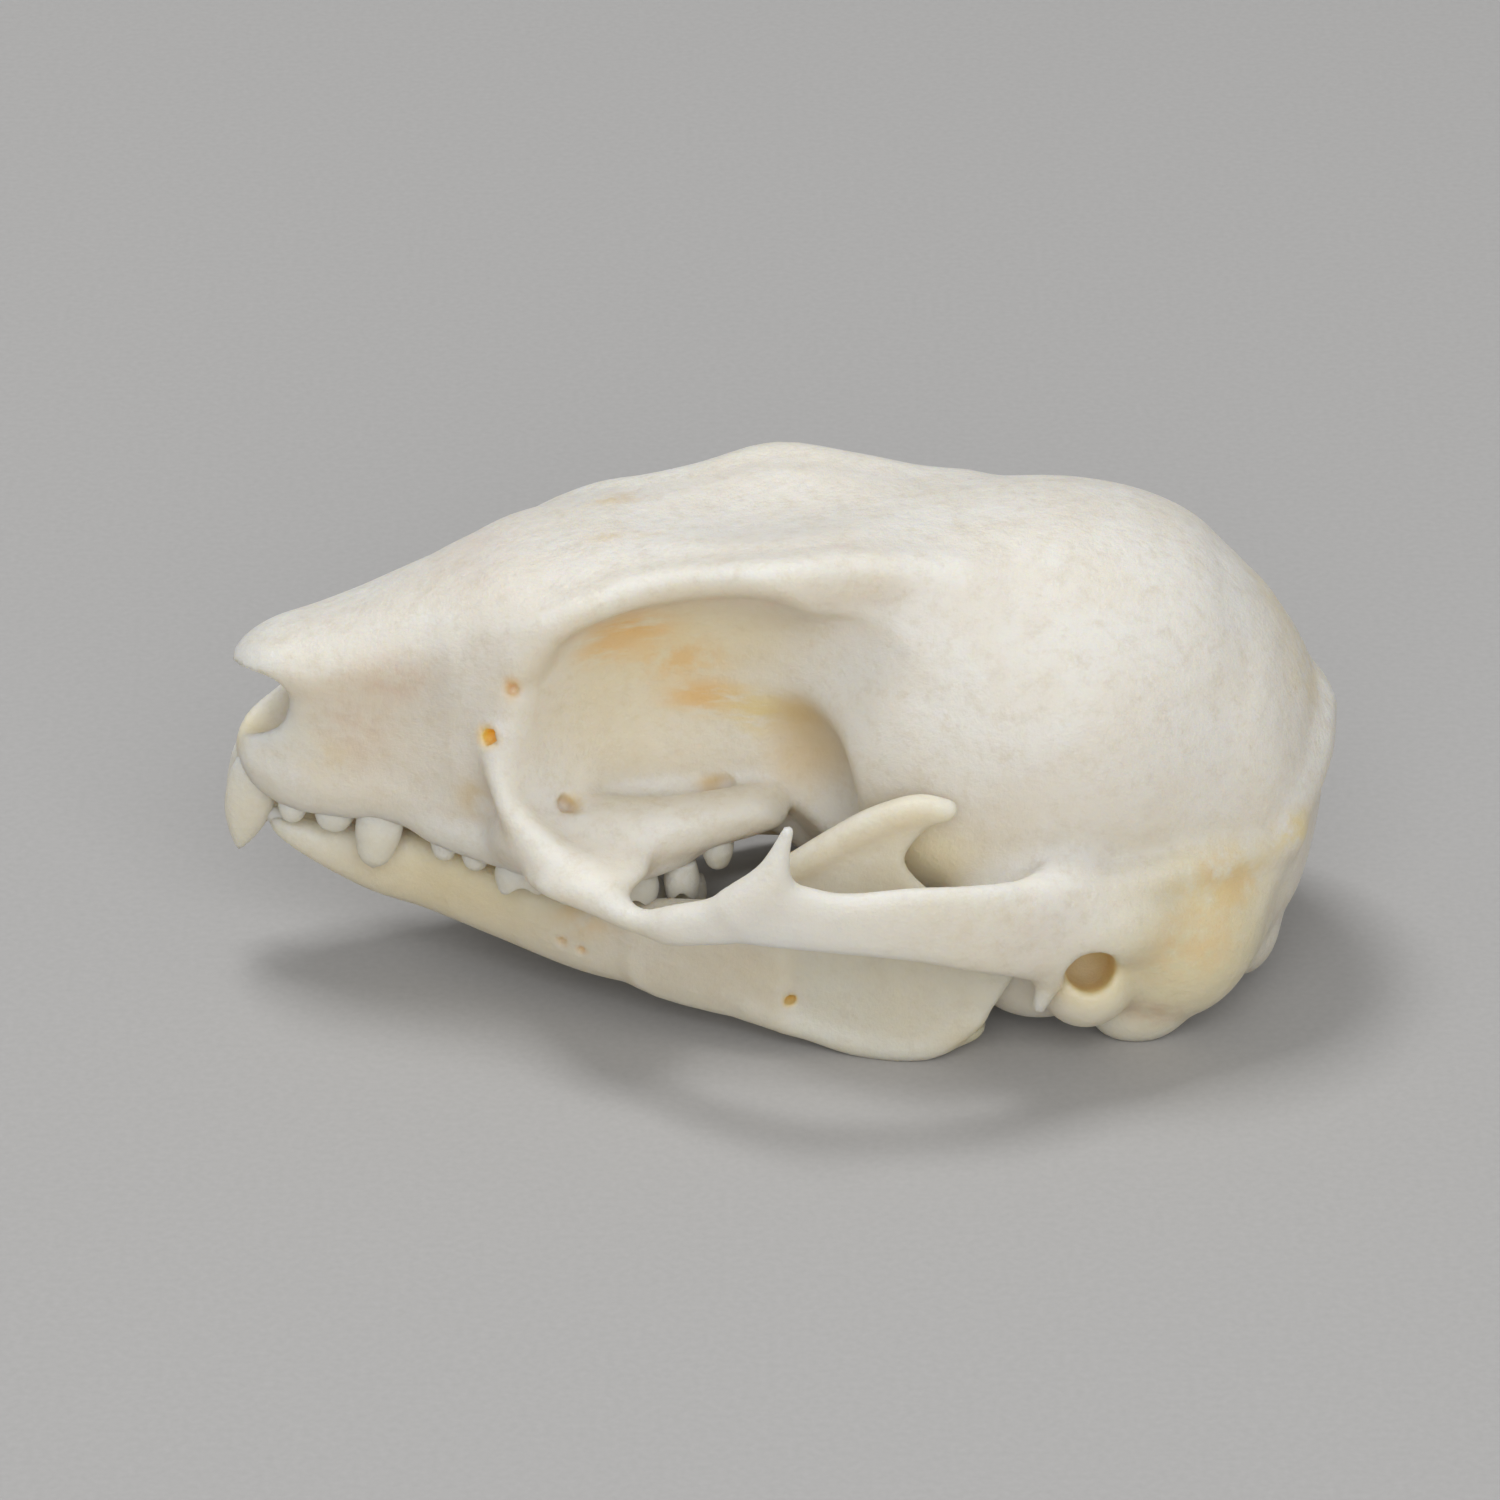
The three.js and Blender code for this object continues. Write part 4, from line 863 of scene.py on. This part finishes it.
CRANIUM_STAINS_AND_PAINTED_LIGHT = [
    ((-0.5, -11.9, 7.6), (9.5, 2.4, 4.0), WHITE, 0.9, EVEN),
    ((-5.0, -4.0, 12.0), (6.0, 3.2, 5.0), GOLD, 0.4, EVEN),
    ((-3.0, -3.0, 14.5), (6.5, 2.6, 3.2), GOLD, 0.35, EVEN),
    ((-5.4, -3.1, 14.6), (2.6, 2.0, 1.4), ORANGE, 1.0, STREAKY),
    ((-6.3, -3.3, 13.7), (1.7, 2.0, 1.1), ORANGE, 0.75, STREAKY),
    ((-3.8, -2.9, 13.2), (2.6, 2.0, 1.4), ORANGE, 0.8, PATCHY),
    ((-2.8, -2.8, 11.7), (2.4, 2.0, 1.1), ORANGE, 0.95, STREAKY),
    ((-1.0, -3.0, 11.2), (2.2, 2.0, 1.5), GOLD, 0.8, STREAKY),
    # Painted shade: darker, warmer tan in the shadowed hollow behind the orbit
    ((0.6, -3.4, 11.2), (1.6, 2.2, 1.4), TAN, 0.75, EVEN),
    ((0.9, -3.2, 9.6), (2.4, 2.4, 2.4), TAN, 0.65, EVEN),
    ((-14.5, -3.0, 10.5), (5.0, 3.0, 4.0), TAN, 0.22, EVEN),
    ((-13.8, -3.1, 12.6), (2.2, 2.0, 1.6), PINK, 0.35, PATCHY),
    ((-15.4, -2.8, 10.4), (2.2, 2.0, 2.2), PINK, 0.25, PATCHY),
    ((-16.4, -2.7, 9.0), (1.6, 2.0, 1.4), GOLD, 0.25, PATCHY),
    ((-11.0, -4.3, 8.4), (1.1, 2.0, 1.4), TAN, 0.5, PATCHY),
    ((-10.0, 0.0, 15.5), (4.0, 4.0, 2.0), PINK, 0.2, PATCHY),
    ((-5.9, 1.9, 17.2), (1.9, 0.9, 1.5), TAN, 0.5, PATCHY),
    ((-5.7, -1.3, 17.3), (2.0, 0.5, 1.5), TAN, 0.4, PATCHY),
    ((-19.5, 0.0, 9.5), (2.5, 1.5, 3.0), GOLD, 0.45, EVEN),
    ((14.0, -7.5, 4.4), (7.0, 5.5, 5.6), CREAM, 0.85, EVEN),
    ((15.4, -7.6, 7.0), (3.4, 2.6, 2.0), GOLD, 0.7, PATCHY),
    ((14.2, -8.3, 4.9), (3.4, 2.4, 2.4), ORANGE, 0.5, PATCHY),
    ((16.2, -7.4, 6.4), (1.5, 2.4, 1.1), ORANGE, 0.35, PATCHY),
    ((15.4, -7.9, 7.4), (1.6, 2.4, 1.0), PINK, 0.3, PATCHY),
    ((18.2, -5.6, 7.8), (1.6, 2.2, 1.2), GOLD, 0.75, PATCHY),
    ((13.2, -8.6, 1.6), (1.8, 2.6, 1.2), PINK, 0.45, PATCHY),
    ((10.8, -8.4, 3.9), (1.9, 3.0, 1.7), HONEY, 1.0, EVEN),
    ((19.0, 0.0, 12.0), (2.5, 6.0, 3.0), GOLD, 0.35, PATCHY),
    ((17.5, 2.0, 14.0), (2.5, 4.0, 2.0), GOLD, 0.35, PATCHY),
    ((10.0, -8.0, 9.0), (3.0, 3.0, 1.4), GREY, 0.16, PATCHY),
    # Painted light: a pale gold glow on the shaded wall behind the coronoid
    ((5.2, -7.0, 7.8), (3.6, 3.0, 2.8), PAINTED_GLOW_GOLD, 1.0, EVEN),
    # Painted shade: warm gold under the arch and beneath the palate, where shadow falls
    ((3.0, -6.0, 4.0), (5.0, 4.5, 4.0), GOLD, 0.3, EVEN),
    ((-3.0, 0.0, 3.5), (7.0, 6.5, 4.5), GOLD, 0.4, EVEN),
    # Painted shade: darker fills in the shallow pits of the four foramina
    ((-9.6, -4.7, 13.0), (0.5, 0.9, 0.75), ORANGE, 0.8, EVEN),
    ((-10.33, -4.6, 11.05), (0.75, 0.9, 0.75), PIT_SHADE_AMBER, 1.0, EVEN),
    ((-7.6, -4.8, 8.4), (0.7, 0.9, 0.5), TAN, 0.8, EVEN),
    ((-2.5, -3.4, 8.4), (0.9, 0.9, 0.5), TAN, 0.8, EVEN),
]
JAW_STAINS_AND_PAINTED_SHADE = [
    ((-11.5, -2.5, 4.3), (7.0, 8.0, 3.0), GOLD, 0.4, EVEN),
    ((-7.0, -5.6, 4.2), (2.2, 2.0, 1.2), ORANGE, 0.5, PATCHY),
    # Painted shade: darker fills in the shallow pits of the three foramina
    ((-7.93, -5.6, 3.07), (0.4, 1.2, 0.35), ORANGE, 0.5, EVEN),
    ((-7.21, -5.8, 2.9), (0.35, 1.2, 0.3), ORANGE, 0.5, EVEN),
    ((0.25, -7.6, 2.08), (0.42, 1.2, 0.42), PIT_SHADE_AMBER, 0.9, EVEN),
    ((-1.5, 0.0, 3.6), (4.5, 12.0, 2.4), GOLD, 0.2, EVEN),
    ((6.8, -7.5, 1.0), (1.6, 2.6, 1.6), GOLD, 0.5, EVEN),
    # Painted shade: tan on the inner face of the far half, which lies in shadow
    ((-3.0, 5.5, 2.5), (9.0, 2.6, 3.0), TAN, 0.5, EVEN),
]
cranium_bone = bone_material("cranium_bone", WHITE_BONE, PALE_BONE, CRANIUM_STAINS_AND_PAINTED_LIGHT, 0.6)
jaw_bone = bone_material("jaw_bone", JAW_BONE, PALE_JAW, JAW_STAINS_AND_PAINTED_SHADE, 0.7)
enamel = bone_material("tooth_enamel", ENAMEL, PALE_ENAMEL, [], 0.5)


# Bones

LEFT, RIGHT = -1, 1
SIDES = (("left", LEFT), ("right", RIGHT))

vertices, quads = surface(cranium, *CRANIUM_BOX, CRANIUM_CELL, mirrored=True)
vertices[:, 2] = np.maximum(vertices[:, 2], 0)
skull = mesh_object("cranium", vertices, quads)
skull.data.materials.append(cranium_bone)
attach(skull, "root")
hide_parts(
    "face",
    "forehead",
    "braincase",
    "occiput",
    *(f"{bone}_{side}" for bone in ("cheekbone", "ear_capsule") for side, _ in SIDES),
)

jaw_vertices, jaw_quads = surface(jaw, *JAW_BOX, JAW_CELL)
jaw_vertices[:, 2] = np.maximum(jaw_vertices[:, 2], 0)
for side, sign in SIDES:
    placed = jaw_vertices * (1, sign, 1)
    piece = mesh_object(f"jaw_{side}", placed, jaw_quads if sign > 0 else jaw_quads[:, ::-1])
    piece.data.materials.append(jaw_bone)
    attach(piece, "root")
    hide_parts(f"lower_jaw_{side}")


# Teeth


TOOTH_SIDES = 20
TOOTH_ROWS = 10


def tooth(root, tip, rings, cusps=0, rise=0.1):
    """A tooth from its root to its tip, through rings of (share of the way, half length, half width)."""
    root, tip = Vector(root), Vector(tip)
    way = tip - root
    front = (Vector((1, 0, 0)) - way * (way.x / way.length_squared)).normalized()
    across = way.cross(front).normalized()
    table = smooth_rows(rings)
    shares = np.linspace(rings[0][0], rings[-1][0], TOOTH_ROWS)
    rows = table(shares)
    points = []
    for r, (share, long, wide) in enumerate(rows):
        for s in range(TOOTH_SIDES):
            turn = 2 * math.pi * (s + 0.5) / TOOTH_SIDES
            cusp = -rise * math.cos(cusps * turn) * (r / (len(rows) - 1)) ** 3 if cusps else 0
            point = root + way * (share + cusp)
            point += front * (long * math.cos(turn))
            point += across * (wide * math.sin(turn))
            points.append(point)
    end = rings[-1][0] + (-rise if cusps else rise)
    points += [root, root + way * end]
    faces = []
    last = (len(rows) - 1) * TOOTH_SIDES
    for s in range(TOOTH_SIDES):
        n = (s + 1) % TOOTH_SIDES
        faces.append((len(points) - 2, n, s))
        for r in range(len(rows) - 1):
            a, b = r * TOOTH_SIDES, (r + 1) * TOOTH_SIDES
            faces.append((a + s, a + n, b + n, b + s))
        faces.append((len(points) - 1, last + s, last + n))
    return [tuple(p) for p in points], faces


def teeth_object(name, solids, sign):
    """One side's row of teeth as a piece, mirrored where sign is negative."""
    points, faces = [], []
    for some_points, some_faces in solids:
        start = len(points)
        points += [(x, y * sign, z) for x, y, z in some_points]
        faces += [tuple(start + i for i in (face if sign > 0 else face[::-1])) for face in some_faces]
    piece = mesh_object(name, points, np.array(faces, dtype=object))
    smooth = piece.modifiers.new("smooth", "SUBSURF")
    smooth.levels = smooth.render_levels = 1
    piece.data.materials.append(enamel)
    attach(piece, "root")


# Rings of (share of the way from root to tip, half length, half width)
PEG = [(0, 0.42, 0.4), (0.55, 0.5, 0.5), (0.85, 0.32, 0.32)]
CROWN = [(0, 0.36, 0.34), (0.5, 0.47, 0.46), (0.9, 0.46, 0.44)]
INCISOR = [
    (0, 0.5, 0.4),
    (0.22, 0.9, 0.55),
    (0.5, 0.93, 0.55),
    (0.66, 0.83, 0.5),
    (0.8, 0.58, 0.4),
    (0.92, 0.3, 0.26),
]
CROWN_HEIGHT = 0.95
ROOT_DEPTH = 0.5
CUSPS, CUSP_RISE = 4, 0.2
JAW_GUM_Z = 3.4
OVERBITE = 1.4  # how far the lower row lies inside the upper one
LOWER_ROW_BACK = 0.3  # and how far behind it
LOWER_LONG, LOWER_WIDE = 0.9, 0.8  # size of a lower cheek tooth against the upper one

# (x, y, length, width) of each upper cheek tooth
CHEEK_TEETH = [
    (-9.35, 4.5, 2.1, 1.7),
    (-7.25, 5.2, 2.0, 1.8),
    (-5.25, 5.4, 1.8, 1.7),
    (-3.6, 5.0, 1.4, 1.4),
]

# (root, tip, length, width) of the smaller incisors, the canine, the premolars and the last molar
SMALL_UPPER_TEETH = [
    ((-17.6, 1.5, 7.4), (-17.75, 1.75, 5.85), 1.1, 0.9),
    ((-16.0, 1.9, 7.4), (-16.3, 2.1, 5.65), 1.5, 1.0),
    ((-14.2, 2.3, 8.2), (-14.85, 2.65, 4.3), 1.75, 1.2),
    ((-12.1, 3.0, 7.2), (-12.2, 3.2, 5.0), 1.1, 0.9),
    ((-10.95, 3.5, 7.2), (-11.05, 3.8, 4.9), 1.2, 1.0),
    ((-2.35, 4.75, 7.8), (-2.3, 4.9, 5.6), 1.2, 1.2),
]


def sized(rings, long, wide):
    return [(share, a * long, b * wide) for share, a, b in rings]


upper = [tooth((-18.8, 0.85, 8.6), (-19.75, 0.7, 4.3), INCISOR)]
upper += [tooth(root, tip, sized(PEG, long, wide)) for root, tip, long, wide in SMALL_UPPER_TEETH]
lower = [tooth((-16.6, 1.0, 4.7), (-19.0, 0.7, 6.1), sized(PEG, 0.9, 0.7))]
for x, y, long, wide in CHEEK_TEETH:
    tip_z = GUM_Z - CROWN_HEIGHT
    crown_rings = sized(CROWN, long, wide)
    upper.append(tooth((x, y, GUM_Z + ROOT_DEPTH), (x, y, tip_z), crown_rings, CUSPS, CUSP_RISE))
    back, inner = x + LOWER_ROW_BACK, y - OVERBITE
    crown_rings = sized(CROWN, long * LOWER_LONG, wide * LOWER_WIDE)
    lower.append(tooth((back, inner, JAW_GUM_Z), (back, inner, tip_z), crown_rings, CUSPS, CUSP_RISE))
for side, sign in SIDES:
    teeth_object(f"upper_teeth_{side}", upper, sign)
    teeth_object(f"lower_teeth_{side}", lower, sign)


# Floor, light and camera

FLOOR_SIZE = 1.2
PAPER_GRAIN = 3500  # noise cells a metre
PAPER_DARK = (0.40, 0.395, 0.39)
PAPER_LIGHT = (0.47, 0.465, 0.46)
PAPER_ROUGHNESS = 0.9
bpy.ops.mesh.primitive_plane_add(size=FLOOR_SIZE, location=(0, 0, 0))
floor = bpy.context.object
floor.name = "floor"
paper = bpy.data.materials.new("floor_paper")
paper.use_nodes = True
paper_tree = paper.node_tree
paper_shader = paper_tree.nodes["Principled BSDF"]
paper_coords = node(paper_tree, "ShaderNodeTexCoord")
paper_noise = node(paper_tree, "ShaderNodeTexNoise")
link(paper_tree, paper_coords.outputs["Object"], paper_noise.inputs["Vector"])
paper_noise.inputs["Scale"].default_value = PAPER_GRAIN
paper_noise.inputs["Detail"].default_value = 4
paper_mix = node(paper_tree, "ShaderNodeMix", data_type="RGBA")
paper_mix.inputs["A"].default_value = (*PAPER_DARK, 1)
paper_mix.inputs["B"].default_value = (*PAPER_LIGHT, 1)
link(paper_tree, paper_noise.outputs["Fac"], paper_mix.inputs["Factor"])
link(paper_tree, paper_mix.outputs["Result"], paper_shader.inputs["Base Color"])
paper_shader.inputs["Roughness"].default_value = PAPER_ROUGHNESS
floor.data.materials.append(paper)


def area_light(name, place, target, size, power):
    data = bpy.data.lights.new(name, "AREA")
    data.size = size
    data.energy = power
    lamp = bpy.data.objects.new(name, data)
    lamp.location = place
    lamp.rotation_euler = (Vector(target) - Vector(place)).to_track_quat("-Z", "Y").to_euler()
    bpy.context.scene.collection.objects.link(lamp)


AIM_HEIGHT = 8 * MM
AIM = (0, 0, AIM_HEIGHT)
WORLD_STRENGTH = 0.33
area_light("overhead_softbox", (-0.08, 0.1, 0.4), AIM, 0.14, 0.75)
area_light("front_softbox", (0.04, -0.38, 0.24), AIM, 0.4, 1.22)
world = bpy.data.worlds.new("studio")
world.use_nodes = True
world.node_tree.nodes["Background"].inputs["Color"].default_value = (1, 1, 1, 1)
world.node_tree.nodes["Background"].inputs["Strength"].default_value = WORLD_STRENGTH
bpy.context.scene.world = world
bpy.context.scene.view_settings.view_transform = "Standard"

# The photo looks along +Y from 28 degrees above the floor, with the skull a little right of its middle.
ELEVATION = math.radians(28)
CAMERA_DISTANCE = 0.3
SKULL_RIGHT_OF_MIDDLE = 1.16 * MM
FOCAL_SHARE = 5.52  # focal length over the width of the picture
SENSOR_WIDTH = 36
aim = Vector((-SKULL_RIGHT_OF_MIDDLE, 0, AIM_HEIGHT))
camera_data = bpy.data.cameras.new("camera")
camera_data.sensor_width = SENSOR_WIDTH
camera_data.lens = SENSOR_WIDTH * FOCAL_SHARE
camera_data.clip_start = 0.01
camera = bpy.data.objects.new("camera", camera_data)
camera.location = aim + CAMERA_DISTANCE * Vector((0, -math.cos(ELEVATION), math.sin(ELEVATION)))
camera.rotation_euler = (aim - camera.location).to_track_quat("-Z", "Y").to_euler()
bpy.context.scene.collection.objects.link(camera)
bpy.context.scene.camera = camera
